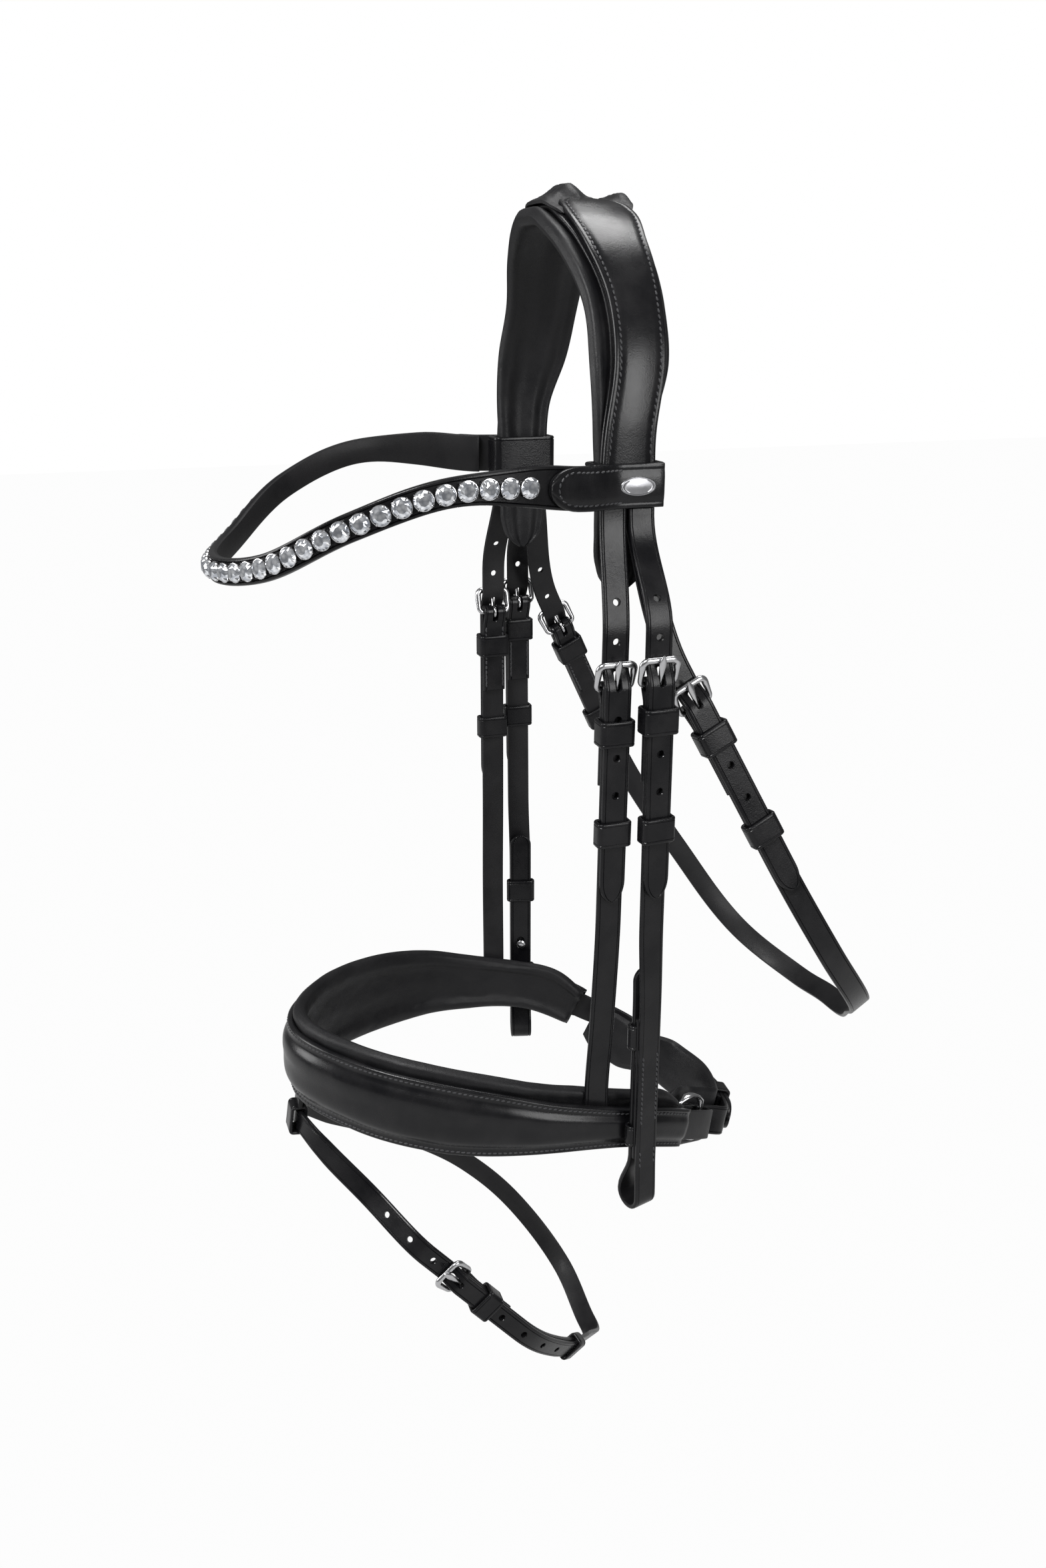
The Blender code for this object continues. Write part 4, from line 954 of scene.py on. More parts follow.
@dataclass
class BuckleSet:
    """The layers and metal at one buckle, placed by its hinge bar."""

    route: Route
    bar_s: float
    width: float = STRAP_WIDTH
    tip: float = TIP_LENGTH
    turn_back: float = TURN_BACK

    def __post_init__(self):
        """Work out the levels of the bars."""
        self.bar_n = -FOLD_R
        self.top_n = LAYER - FOLD_R + 1.1
        self.under_n = self.top_n - BAR_R - GAP - LEATHER / 2
        self.prong_s = self.bar_s - 5.0

    def strap_path(self, end_points):
        """Turn-back, fold round the hinge bar, then the strap itself."""
        s = self.bar_s
        back = [(s + self.turn_back, -LAYER)]
        back += ease_between(s + 10.0, -LAYER, s, -2 * FOLD_R, 6)
        fold = [(s - FOLD_R * math.sin(a), -FOLD_R - FOLD_R * math.cos(a))
                for a in np.radians([18, 36, 54, 72, 90, 108, 126, 144, 162])]
        return SidePath(back + fold + [(s, 0.0)] + end_points)

    def fold_slot(self, path):
        """The slot in the fold that lets the prong swing."""
        first = path.q_at(self.bar_s + 5.2)
        last = path.q_at(self.bar_s + 4.8, first=False)
        return slot_shape((first + last) / 2, (last - first) / 2, PRONG_SLOT_R)

    def billet_points(self, start_s):
        """The billet behind the top bar, then over the hinge bar to its tip."""
        s = self.bar_s
        points = [(start_s, self.under_n), (s - BUCKLE_PITCH - 4.0, self.under_n)]
        points += ease_between(s - BUCKLE_PITCH + 0.6, self.under_n, s - 0.4, LAYER, 9)
        return points + [(s + self.tip, LAYER)]

    def billet_holes(self, path, numbers, first=True):
        """The hole in use, lengthened by the prong, and the spare holes."""
        used = path.q_at(self.prong_s, first)
        holes = [slot_shape(used, PRONG_SLOT_R + SLOT_HALF, PRONG_SLOT_R)]
        return holes + [slot_shape(used + k * HOLE_PITCH, 0.0, HOLE_R) for k in numbers]

    def local(self, u, n, v=0.0):
        """Point u past the hinge bar, n out from the strap, v across."""
        point, along, width, out = self.route.frame(self.bar_s)
        return point + along * u + out * n + width * v

    def frame(self, name, flip=False):
        """Make the rectangular frame: a bar of oval cut with soft corners."""
        half = self.width / 2 + BUCKLE_CLEARANCE + BAR_R
        rise = self.top_n - self.bar_n
        slope = math.hypot(BUCKLE_PITCH, rise)
        loop = rounded_rectangle(half, slope / 2, 3.0, 9)
        filled = []
        for a, b in zip(loop, loop[1:] + loop[:1]):
            pieces = max(int(math.dist(a, b) / 1.5), 1)
            filled += [tuple(np.array(a) + (np.array(b) - a) * k / pieces) for k in range(pieces)]
        points, thick, broad = [], [], []
        for v, along in filled:
            share = (slope / 2 - along) / slope
            points.append(self.local(-BUCKLE_PITCH * share, self.bar_n + rise * share, v))
            grow = float(ease(0.5 + (share - 0.5) * 1.6))
            thick.append(BAR_R * (1.0 + 0.12 * grow))
            broad.append(BAR_R * (1.0 + 0.3 * grow))
        up = np.cross(self.local(-BUCKLE_PITCH, self.top_n) - self.local(0, self.bar_n),
                      self.local(0, 0, 1) - self.local(0, 0))
        verts, faces = tube(points, thick, broad, up, closed=True, sides=16)
        return mesh_object(name, verts, faces, verts, flip=flip)

    def prong(self, name, flip=False):
        """Make the prong: wire bent round the hinge bar, tapering to its tip."""
        ring = BAR_R + GAP + PRONG_R
        rest = self.top_n - self.bar_n + BAR_R + GAP + PRONG_R
        tilt = 0.0
        for _ in range(30):
            reach = BUCKLE_PITCH + ring * math.sin(tilt)
            tilt = math.atan((rest - ring * math.cos(tilt)) / reach)
        turn = math.pi / 2 - tilt - np.radians(np.linspace(300, 0, 26))
        flat = [(ring * math.cos(a), ring * math.sin(a)) for a in turn]
        foot = flat[-1]
        reach = BUCKLE_PITCH + ring * math.sin(tilt) + BAR_R + 1.6
        for share in np.linspace(0, 1, 13)[1:]:
            flat.append((foot[0] - reach * share, foot[1] + reach * share * math.tan(tilt)))
        points = [self.local(u, self.bar_n + n) for u, n in flat]
        count = len(points)
        size = [PRONG_R * 1.08] * count
        for i, share in enumerate((1.0, 0.98, 0.94, 0.86, 0.7, 0.42)):
            size[count - 6 + i] = PRONG_R * share
        size[0] = PRONG_R * 0.6
        leaf = [1.0, 1.05, 1.15, 1.3, 1.5, 1.7, 1.8, 1.75, 1.55, 1.2]
        broad = [r * (leaf[i - count + 10] if i >= count - 10 else 1.0)
                 for i, r in enumerate(size)]
        up = self.local(0, 0, 1) - self.local(0, 0)
        verts, faces = tube(points, broad, size, up, sides=14)
        return mesh_object(name, verts, faces, verts, flip=flip)

    def metal(self, stem, sides=("near", "far")):
        """Make the frame and prong on each side."""
        for side in sides:
            end = f"_{side}" if side else ""
            for kind, make in (("buckle", self.frame), ("prong", self.prong)):
                node = f"{stem}_{kind}{end}"
                piece = make(f"{node}.metal", side == "far")
                settle(piece, node, Finish.STEEL, "stainless_steel", (node,))

    def keeper(self, name, at, low_n, high_n, length=KEEPER_LENGTH, flip=False):
        """Make a leather loop round the layers between two levels."""
        return hoop(name, self.route, self.bar_s + at, low_n, high_n, self.width, length, flip)


def hoop(name, route, s, low_n, high_n, width, length=KEEPER_LENGTH, flip=False, wall=KEEPER_WALL):
    """Make a keeper: a creased leather band round a stack of straps."""
    half_v = width / 2 + KEEPER_PLAY + wall / 2
    half_n = (high_n - low_n) / 2 + GAP + wall / 2
    loop = rounded_rectangle(half_v, half_n, min(1.9, half_n - 0.1), 7)
    point, along, side, out = route.frame(s)
    middle = point + out * (low_n + high_n) / 2
    cut = strap_section(-length / 2, length / 2, wall)
    verts, flat = [], []
    walked = 0.0
    for i, (a, b) in enumerate(loop):
        before, after = np.array(loop[i - 1]), np.array(loop[(i + 1) % len(loop)])
        run = (after - before) / np.linalg.norm(after - before)
        outward = np.array((run[1], -run[0]))
        walked += float(np.linalg.norm(np.array((a, b)) - before))
        for v, t in cut:
            place = np.array((a, b)) + outward * t
            verts.append(middle + side * place[0] + out * place[1] + along * v)
            flat.append((walked, v, t))
    return mesh_object(name, verts, grid_faces(len(loop), len(cut), True), flat, flip=flip)


def pair(name, body, make, finish=None, slot="leather_black", node=True):
    """Make a piece on the near side and its mirror image on the far side.

    Args:
        name: name without its side.
        body: body name, with the side left out as {}.
        make: builder, called with the piece's name and whether to mirror it.
        finish: what it is made of.
        slot: material slot; not used.
        node: whether it stands for the CAD node of the same name.
    """
    for side in SIDES:
        piece = make(f"{name}_{side}.skin", side == "far")
        nodes = (f"{name}_{side}",) if node else ()
        settle(piece, body.format(side), finish or Finish.LEATHER, slot, nodes)


def double_row(thread, parts, path, s0, s1, level, flip, inset=1.6, first=True):
    """Two rows of stitches near a strap's edges, between two distances."""
    q0, q1 = (path.q_at(parts.bar_s + s, first) for s in (s0, s1))
    for v in (-1, 1):
        thread.row(parts.route, path, q0, q1, v * (parts.width / 2 - inset), level, flip)


# -------------------------------------------------------------- padded pieces

@dataclass
class Padding:
    """A padded leather piece: a cushion of changing section along a route.

    Each entry of bulge is (place across from 0 to 1, outer height, inner
    height), in millimetres from the middle of the cushion.
    """

    route: Route
    path: SidePath
    rows: Sequence
    bulge: Callable[[float], Sequence]
    step: float = 2.6
    across: int = 34
    crumple: float = 0.35
    fine: float = 0.1
    seed: float = 0.0

    def build(self, name, flip=False):
        """Make the padded piece."""
        table = np.array(self.rows, float)
        first, last = table[0, 0], table[-1, 0]
        at = np.linspace(first, last, int((last - first) / self.step) + 1)
        low, high = (smooth_values(at, table[:, 0], table[:, k]) for k in (1, 2))
        share = 0.5 - 0.5 * np.cos(np.linspace(0, math.pi, self.across))
        flat = []
        for q, a, b in zip(at, low, high):
            shape = np.array(self.bulge((q - first) / (last - first)), float)
            outer = smooth_values(share, shape[:, 0], shape[:, 1])
            inner = smooth_values(share, shape[:, 0], shape[:, 2])
            end = min(q - first, last - q)
            shrink = math.sqrt(max(1 - (1 - min(end / 5.0, 1.0)) ** 2, 0.0)) * 0.9 + 0.1
            middle = (outer + inner) / 2
            v = a + (b - a) * share
            flat += [(q, x, m + (t - m) * shrink) for x, t, m in zip(v, outer, middle)]
            flat += [(q, x, m + (t - m) * shrink)
                     for x, t, m in list(zip(v, inner, middle))[-2:0:-1]]
        flat = np.array(flat, float)
        ring = 2 * self.across - 2
        sign = np.tile(np.r_[np.ones(self.across), -np.ones(ring - self.across)], len(at))
        rim = np.tile(np.r_[share, share[-2:0:-1]], len(at))
        soft = np.clip(np.sin(rim * math.pi) * 3.0, 0.25, 1.0)
        lift = []
        for q, v, t in flat:
            spot = Vector((q * 0.07, v * 0.16, t * 0.1 + self.seed))
            small = Vector((q * 0.34, v * 0.2, t * 0.2 + self.seed + 9.0))
            lift.append(noise.fractal(spot, 1.0, 2.0, 3) * self.crumple
                        + noise.fractal(small, 0.9, 2.1, 3) * self.fine)
        flat[:, 2] += sign * np.array(lift) * soft
        laid = self.path.lay(self.route, flat[:, 0], flat[:, 1], flat[:, 2])
        LOG.info("%s: %d points", name, len(flat))
        depth = np.stack([flat[:, 0], flat[:, 1], np.full(len(flat), 1.0)], -1)
        return mesh_object(name, laid, grid_faces(len(at), ring), depth, sharp=60, flip=flip)


# ------------------------------------------------------------------ headpiece

BACK = (0.0, 1.0, 0.0)
UP = (0.0, 0.0, 1.0)
DOWN = (0.0, 0.0, -1.0)
FORWARD = (0.0, -1.0, 0.0)


def crown_route():
    """From inside the near loop, over the poll, to inside the far loop."""
    top = POLL_PAD + GAP + LEATHER / 2
    near = [((LEG_X, 0, CROWN_END_Z), FORWARD, UP), ((LEG_X, 0, LEG_Z), FORWARD, UP),
            ((72.5, 0, -66.0), FORWARD), ((63.5, 0, -43.0), FORWARD),
            ((49.0, 0, -19.5), FORWARD), ((26.0, 0, -0.5), FORWARD)]
    poll = [((8.0, 0, top), FORWARD, (-1, 0, 0)), ((-8.0, 0, top), FORWARD, (-1, 0, 0))]
    far = [((-p[0], p[1], p[2]), FORWARD) for p, *_ in reversed(near[2:])]
    far += [((-LEG_X, 0, LEG_Z), FORWARD, DOWN), ((-LEG_X, 0, CROWN_END_Z), FORWARD, DOWN)]
    return Route(near + poll + far)


def hanger_route():
    """Centre line of the near noseband hanger, from its root down."""
    x, y = BILLET_X + 2.0, -BILLET_SPREAD + 0.5
    high, low = (98.0, -10.6, -192.0), (97.0, -11.6, -338.0)
    return Route([((x, y, ROOT_Z + STRAP_WIDTH / 2), BACK, DOWN), ((x, y, ROOT_Z - 1), BACK, DOWN),
                  (high, BACK, unit(high, low)), (low, BACK, unit(high, low)),
                  ((94.6, -13.0, -405.0), BACK), ((91.2, -14.0, -455.0), BACK, DOWN),
                  ((91.2, -14.0, -490.0), BACK, DOWN)])


def bit_route():
    """Centre line of the near bit cheekpiece, from its root to its loop."""
    x, y = BILLET_X + 2.0, BILLET_SPREAD + 0.5
    high, low = (107.0, 8.3, -188.0), (106.2, 9.0, -345.0)
    turned = (-0.27, 0.96, 0.0)
    return Route([((x, y, ROOT_Z - 0.2), BACK, DOWN), ((x, y, ROOT_Z - 2), BACK, DOWN),
                  (high, BACK, unit(high, low)), (low, (-0.1, 0.99, 0.0), unit(high, low)),
                  ((106.2, 10.2, -395.0), turned, DOWN), ((106.2, 10.2, -560.0), turned, DOWN)])


def throat_route():
    """The whole throatlatch line, from the near root to the far root."""
    lean = unit((0, 0, 0), (0.0, 0.29, -0.957))
    root = np.array((LEG_X + 2.0, 5.0, ROOT_Z))
    start = tuple(root - np.array(lean) * STRAP_WIDTH / 2)
    high, low = (95.5, 24.6, -212.0), (113.0, 76.0, -312.0)
    slant = (0.0, 0.95, 0.3)
    near = [(start, slant, lean), (tuple(root + np.array(lean) * 2.0), slant, lean),
            (high, slant, unit(high, low)), (low, slant, unit(high, low))]
    far = []
    for point, width, tangent in reversed(near):
        flipped = (tangent[0], -tangent[1], -tangent[2])
        far.append(((-point[0], point[1], point[2]), width, flipped))
    sag = [((118.5, 112.0, -374.0), (0, 0.9, 0.4)), ((103.0, 142.0, -413.0), (0, 0.85, 0.5)),
           ((60.0, 171.0, -446.0), (0, 0.8, 0.6)), ((0.0, 196.0, -477.0), (0, 0.75, 0.66), (-1, 0, 0)),
           ((-50.0, 198.0, -484.0), (0, 0.8, 0.6)), ((-90.0, 176.0, -466.0), (0, 0.85, 0.5)),
           ((-115.0, 133.0, -404.0), (0, 0.9, 0.4))]
    return Route(near + sag + far)


def brow_route():
    """The browband's line, from the far loop round the brow to the near loop."""
    x = LOOP_OUTER_X + LOOP_WALL + BROW_THICK / 2 + GAP
    wall = LOOP_OUTER_X + LOOP_WALL - BROW_THICK / 2
    near = [((50.0, -171.0, -156.0), UP), ((84.0, -137.0, -134.0), UP), ((97.5, -95.0, -119.0), UP),
            ((96.0, -56.0, -118.0), UP), ((x - 0.6, BAND_END_Y, LOOP_Z), UP, (-0.2, 1, 0)),
            ((wall, -6.0, LOOP_Z), UP, (0, 1, 0)), ((wall, TAB_BACK_Y, LOOP_Z), UP, (0, 1, 0))]
    far = []
    for point, width, *tangent in reversed(near):
        flipped = [(tangent[0][0], -tangent[0][1], 0)] if tangent else []
        far.append(((-point[0], point[1], point[2]), width, *flipped))
    return Route(far + [((0.0, -189.0, -163.0), UP, (1, 0, 0))] + near)


def nose_route():
    """The closed noseband line: chin, near side, front, far side, chin."""
    down = (0.0, 0.0, -1.0)
    chin_down = (0.0, -0.25, -0.97)
    near = [((32.0, 99.0, -527.0), chin_down), ((60.0, 80.0, -512.0), down),
            ((81.0, 49.0, -493.5), down), ((93.5, 14.0, -477.0), down),
            ((95.8, -14.0, -469.0), down), ((93.0, -55.0, -461.0), down),
            ((79.0, -100.0, -454.5), down), ((48.0, -143.0, -449.0), down)]
    front = [((0.0, -166.0, -448.0), down, (-1, 0, 0))]
    sag = -3.0
    far = [((-p[0], p[1], p[2] + sag), w) for p, w in reversed(near[2:])]
    far += [((-p[0], p[1], p[2]), w) for p, w in reversed(near[:2])]
    return Route([((0.0, 106.0, -531.0), chin_down, (1, 0, 0))] + near + front + far, closed=True)


def flash_route():
    """The closed flash strap line, from the nose down the near side."""
    slant, level = (0.0, 0.75, 0.66), (0.0, 0.25, 0.97)
    high, low = (73.8, -107.8, -549.6), (80.0, -56.0, -609.0)
    near = [((14.0, -163.0, -491.5), level), ((42.0, -134.0, -524.0), slant),
            (high, slant, unit(high, low)), (low, slant, unit(high, low)),
            ((67.0, -28.0, -641.0), (0.0, 0.8, 0.6)), ((37.0, 3.0, -671.0), (0.0, 0.85, 0.5))]
    bottom = [((0.0, 22.0, -695.0), (0.0, 0.9, 0.43), (-1, 0, 0))]
    far = [((-44.0, 20.0, -681.0), (0.0, 0.85, 0.5)), ((-70.0, -6.0, -640.0), (0.0, 0.8, 0.6)),
           ((-70.0, -42.0, -597.0), slant), ((-56.0, -95.0, -551.0), slant),
           ((-36.0, -138.0, -517.0), (0.0, 0.5, 0.85)), ((-14.0, -163.0, -491.5), level)]
    return Route([((0.0, -166.0, -489.0), (0.0, 0.15, 0.99), (1, 0, 0))] + near + bottom + far,
                 closed=True)


def crown_edges(route, extra_front, extra_back, lead=0.0):
    """Stations of the crown's outline; v is positive towards the front."""
    half = route.length / 2
    near = [(0.0, -15.0, 13.5), (30.0, -15.4, 12.0), (60.0, -22.0, 7.0), (90.0, -24.0, 6.0),
            (120.0, -24.0, 11.0), (half - 14, -26.0, 16.5), (half, -26.0, 17.0)]
    rows = []
    for q, low, high in near:
        share = min(max(q - LOOP_HEIGHT, 0.0) / 25.0, 1.0)
        rows.append((q + lead, low - extra_back * share, high + extra_front * share))
    for q, low, high in reversed(near[:-1]):
        share = min(max(q - LOOP_HEIGHT, 0.0) / 25.0, 1.0)
        rows.append((2 * half - q + lead, low - extra_back * share, high + extra_front * share))
    return rows


class Headpiece:
    """Crown strap, stitched overlay, and the soft pad with its front roll."""

    def __init__(self):
        """Take the crown's line."""
        self.route = crown_route()
        self.body = "headpiece"
        self.thread = Thread("headpiece.thread", self.body)

    def build(self):
        """Make the headpiece."""
        self.strap()
        self.overlay()
        self.pad()
        self.poll()
        self.thread.build()

    def strap(self):
        """The plain load-bearing crown strap."""
        flat = SidePath([(0.0, 0.0), (self.route.length, 0.0)])
        blank = Blank(self.route, flat, crown_edges(self.route, 0.0, 0.0), smooth=True)
        settle(blank.build("crown_strap.skin"), self.body, Finish.LEATHER, nodes=("crown_strap",))

    def overlay(self):
        """The wide overlays, one up each side, with their stitched borders."""
        drop = CROWN_END_Z - OVERLAY_END_Z
        reach = self.route.length / 2 - 13.0
        table = crown_edges(self.route, -1.2, -1.2, drop)
        rows = [row for row in table if row[0] < reach + drop - 12.0]
        low, high = rows[-1][1] - 0.6, rows[-1][2] + 2.6
        end = reach + drop
        rows += [(end - 9.0, low, high), (end - 5.0, low + 1.5, high), (end - 2.0, low + 6.0, high),
                 (end, low + 16.0, high - 1.5)]
        side = np.array(rows, float)
        for side_name in SIDES:
            flip = side_name == "far"
            over = SidePath([(-drop, LAYER), (reach, LAYER + 0.3)])
            blank = Blank(self.route, over, rows, section=overlay_section, smooth=True, step=3.0)
            piece = blank.build(f"crown_overlay.{side_name}", flip)
            settle(piece, self.body, Finish.OVERLAY, nodes=("crown_overlay",))
            for k, inset in ((1, 3.0), (2, -3.0)):
                edge = lambda q, k=k, inset=inset: float(
                    smooth_values(np.array([q]), side[:, 0], side[:, k])[0]) + inset
                self.thread.row(self.route, over, 24.0, over.length - (13.0 if k == 1 else 4.0),
                                edge, LEATHER / 2, flip)
            across = np.linspace(0, 1, 10)
            spots = np.array([(end - 12.0 + 8.5 * math.sin(math.pi / 2 * u),
                               low + 3.2 + (high - low - 6.4) * u) for u in across])
            self.turn(over, spots, LEATHER / 2, flip)

    def turn(self, path, spots, level, flip):
        """Stitches along a line drawn on a laid piece."""
        here = path.lay(self.route, spots[:, 0], spots[:, 1], np.full(len(spots), level))
        lift = path.lay(self.route, spots[:, 0], spots[:, 1], np.full(len(spots), level + 1.0))
        outs = lift - here
        if flip:
            here, outs = here * np.array((-1, 1, 1)), outs * np.array((-1, 1, 1))
        self.thread.loop(here, outs)

    def poll(self):
        """The gathered soft cover over the poll, between the two overlays."""
        middle = self.route.length / 2
        path = SidePath([(middle - 25.0, 2.9), (middle + 25.0, 2.9)])
        rows = [(0.0, -22.0, 13.0), (8.0, -27.0, 17.5), (25.0, -29.0, 19.0), (42.0, -27.0, 17.5),
                (50.0, -22.0, 13.0)]
        cover = Padding(self.route, path, rows, self.gather, step=1.3, across=60, crumple=1.0,
                        fine=0.4, seed=2.0)
        piece = cover.build("poll_cover.skin")
        settle(piece, self.body, Finish.PAD, "soft_pad_black")

    def gather(self, share):
        """Two soft ridges across the poll with a valley between them."""
        high = float(ease((min(share, 1 - share) * 50.0 - 8.0) / 11.0))
        ridges = [(0.0, 0.3, 0.0), (0.03, 3.2, 0.0), (0.08, 4.2, 0.0), (0.16, 3.2, 0.0),
                  (0.34, 0.9, 0.0), (0.5, 3.4, 0.0), (0.6, 7.0, 0.0), (0.68, 8.0, 0.0),
                  (0.76, 6.2, 0.0), (0.88, 2.6, 0.0), (0.96, 1.4, 0.0), (1.0, 0.3, 0.0)]
        return [(u, top * high + 0.1, -1.2) for u, top, _ in ridges]

    def bulge(self, share):
        """A fat front roll, a valley, two cushions and a thin rear welt."""
        along = min(share, 1 - share) * 2
        roll = float(ease((along - 0.12) / 0.2))
        top = 2.2 + 0.3 * roll
        return [(0.0, 0.2, -0.2), (0.03, 1.6, -1.7), (0.08, 1.9, -2.2), (0.14, 1.0, -1.3),
                (0.34, 1.7, -2.9 - 0.8 * roll), (0.55, 1.3, -1.5), (0.66, 1.4, -1.6),
                (0.74, 1.6, -2.6), (0.83, top, -3.1 - roll), (0.91, top + 1.6 * roll, -3.4 - roll),
                (0.97, top - 0.4 + roll, -2.6 - 0.5 * roll), (1.0, 0.4, -0.4)]

    def pad(self):
        """The soft pad under the crown."""
        pad_n = -LEATHER / 2 - GAP - POLL_PAD / 2
        tongue = 50.0
        under = SidePath([(-tongue, pad_n), (self.route.length + tongue, pad_n)])
        rows = crown_edges(self.route, 8.5, 3.5, tongue)
        ends = [(0.0, -2.0, 2.0), (5.0, -9.0, 8.5), (14.0, -13.0, 12.5), (30.0, -14.0, 13.5)]
        ends += rows + [(under.length - q, low, high) for q, low, high in reversed(ends)]
        pad = Padding(self.route, under, ends, self.bulge)
        piece = pad.build("crown_pad.skin")
        settle(piece, self.body, Finish.PAD, "soft_pad_black", ("crown_pad",))


# ------------------------------------------------------------------- browband

class Browband:
    """The browband with its two loops, outer tabs and row of set stones."""

    def __init__(self):
        """Take the browband's line."""
        self.route = brow_route()
        self.body = "browband"
        self.thread = Thread("browband.thread", self.body)

    def build(self):
        """Make the browband."""
        self.band()
        for side in SIDES:
            self.loop(side)
        self.stones()
        self.badge()
        self.thread.build()

    def band(self):
        """The shaped band."""
        half, tall = BROW_HEIGHT / 2, LOOP_HEIGHT / 2
        first, last = self.route.marks[2], self.route.marks[-3]
        flat = SidePath([(first, 0.0), (last, 0.0)])
        rows = [(0.0, -tall, tall), (26.0, -tall + 0.5, tall - 0.5), (62.0, -half - 0.4, half + 0.4),
                (100.0, -half, half), (flat.length / 2, -half, half)]
        rows += [(flat.length - q, low, high) for q, low, high in reversed(rows[:-1])]
        blank = Blank(self.route, flat, rows, thick=BROW_THICK, section=strap_section, smooth=True)
        settle(blank.build("browband.skin"), self.body, Finish.LEATHER, nodes=("browband",))

    def loop(self, side):
        """The ring round the cheek straps and the outer tab stitched over it."""
        flip = side == "far"
        middle = (LOOP_INNER_X + LOOP_OUTER_X) / 2
        wall = LOOP_WALL + 0.2
        half_x = (LOOP_OUTER_X - LOOP_INNER_X) / 2 + wall / 2
        ring = rounded_rectangle(half_x, LOOP_INNER_Y + wall / 2, 2.6, 8)
        cut = strap_section(-LOOP_HEIGHT / 2, LOOP_HEIGHT / 2, wall)
        verts, flat, walked = [], [], 0.0
        for i, (a, b) in enumerate(ring):
            before, after = np.array(ring[i - 1]), np.array(ring[(i + 1) % len(ring)])
            run = (after - before) / np.linalg.norm(after - before)
            walked += float(np.linalg.norm(np.array((a, b)) - before))
            for v, t in cut:
                verts.append((middle + a + run[1] * t, LOOP_CENTRE_Y + b - run[0] * t, LOOP_Z + v))
                flat.append((walked, v, t))
        piece = mesh_object(f"browband_loop_{side}.ring", verts,
                            grid_faces(len(ring), len(cut), True), flat, flip=flip)
        settle(piece, self.body, Finish.LEATHER, nodes=(f"browband_loop_{side}",))
        level = BROW_THICK / 2 + GAP + TAB_THICK / 2
        path = SidePath([(self.route.length - TAB_LENGTH, level), (self.route.length, level)])
        rows = strap_edges(TAB_LENGTH, LOOP_HEIGHT, "tip", "square")
        tab = Blank(self.route, path, rows, thick=TAB_THICK, section=overlay_section, step=3.0)
        piece = tab.build(f"browband_tab_{side}.skin", flip)
        settle(piece, self.body, Finish.OVERLAY)
        near, far, top = 6.0, TAB_LENGTH - 22.0, TAB_THICK / 2 - 0.05
        edge = LOOP_HEIGHT / 2 - 2.9
        for v in (-edge, edge):
            self.thread.row(self.route, path, near + 8.0, far, v, top, flip)
        around = [(near + 8.0 - math.cos(a) * 9.5, math.sin(a) * edge)
                  for a in np.radians(np.linspace(-84, 84, 9))]
        self.turn(path, around, top, flip)
        down = [(far + 1.0, v) for v in np.linspace(-edge + 1, edge - 1, 6)]
        self.turn(path, down, top, flip)

    def turn(self, path, spots, level, flip):
        """Stitches along a line drawn on a laid piece."""
        spots = np.array(spots, float)
        here = path.lay(self.route, spots[:, 0], spots[:, 1], np.full(len(spots), level))
        lift = path.lay(self.route, spots[:, 0], spots[:, 1], np.full(len(spots), level + 1.0))
        outs = lift - here
        if flip:
            here, outs = here * np.array((-1, 1, 1)), outs * np.array((-1, 1, 1))
        self.thread.loop(here, outs)

    def stones(self):
        """Faceted stones in cups with four claws each."""
        level = BROW_THICK / 2
        first = self.route.length / 2 - STONE_COUNT * STONE_PITCH
        cut, cup = ([], []), ([], [])
        for k in range(2 * STONE_COUNT):
            s = first + (k + 0.5) * STONE_PITCH
            centre, along, side, out = self.route.frame(s)
            centre = centre + out * level
            turn = k * 0.7
            self.stone(cut, centre, along, side, out, turn)
            self.cup(cup, centre, along, side, out)
        piece = mesh_object("stone_row.cut", *cut, cut[0], sharp=0)
        settle(piece, self.body, Finish.STONE, "clear_stones", ("stone_row",))
        piece = mesh_object("stone_row.cups", *cup, cup[0])
        settle(piece, self.body, Finish.SILVER, "stainless_steel")

    def stone(self, store, centre, along, side, out, turn):
        """Add one brilliant: table, crown facets and girdle."""
        verts, faces = store
        start = len(verts)
        rings = [(2.4, 4.0, 8, 0.5), (3.7, 3.1, 16, 0.0), (STONE_R + 0.1, 1.7, 16, 0.5),
                 (STONE_R - 0.2, 0.9, 16, 0.5)]
        starts = []
        for radius, height, count, shift in rings:
            starts.append((len(verts), count))
            for j in range(count):
                a = 2 * math.pi * (j + shift) / count + turn
                verts.append(centre + along * radius * math.cos(a) + side * radius * math.sin(a)
                             + out * height)
        faces.append(tuple(start + j for j in range(8)))
        table, crown = starts[0][0], starts[1][0]
        for j in range(8):
            k = (j + 1) % 8
            faces.append((table + j, crown + 2 * j + 1, table + k)[::1])
            faces.append((table + j, crown + 2 * j, crown + 2 * j + 1))
            faces.append((table + k, crown + 2 * j + 1, crown + (2 * j + 2) % 16))
        for ring in (1, 2):
            a, b = starts[ring][0], starts[ring + 1][0]
            for j in range(16):
                k = (j + 1) % 16
                if ring == 1:
                    faces += [(a + j, b + j, a + k), (a + k, b + j, b + k)]
                else:
                    faces.append((a + j, b + j, b + k, a + k))
        faces.append(tuple(starts[3][0] + j for j in reversed(range(16))))

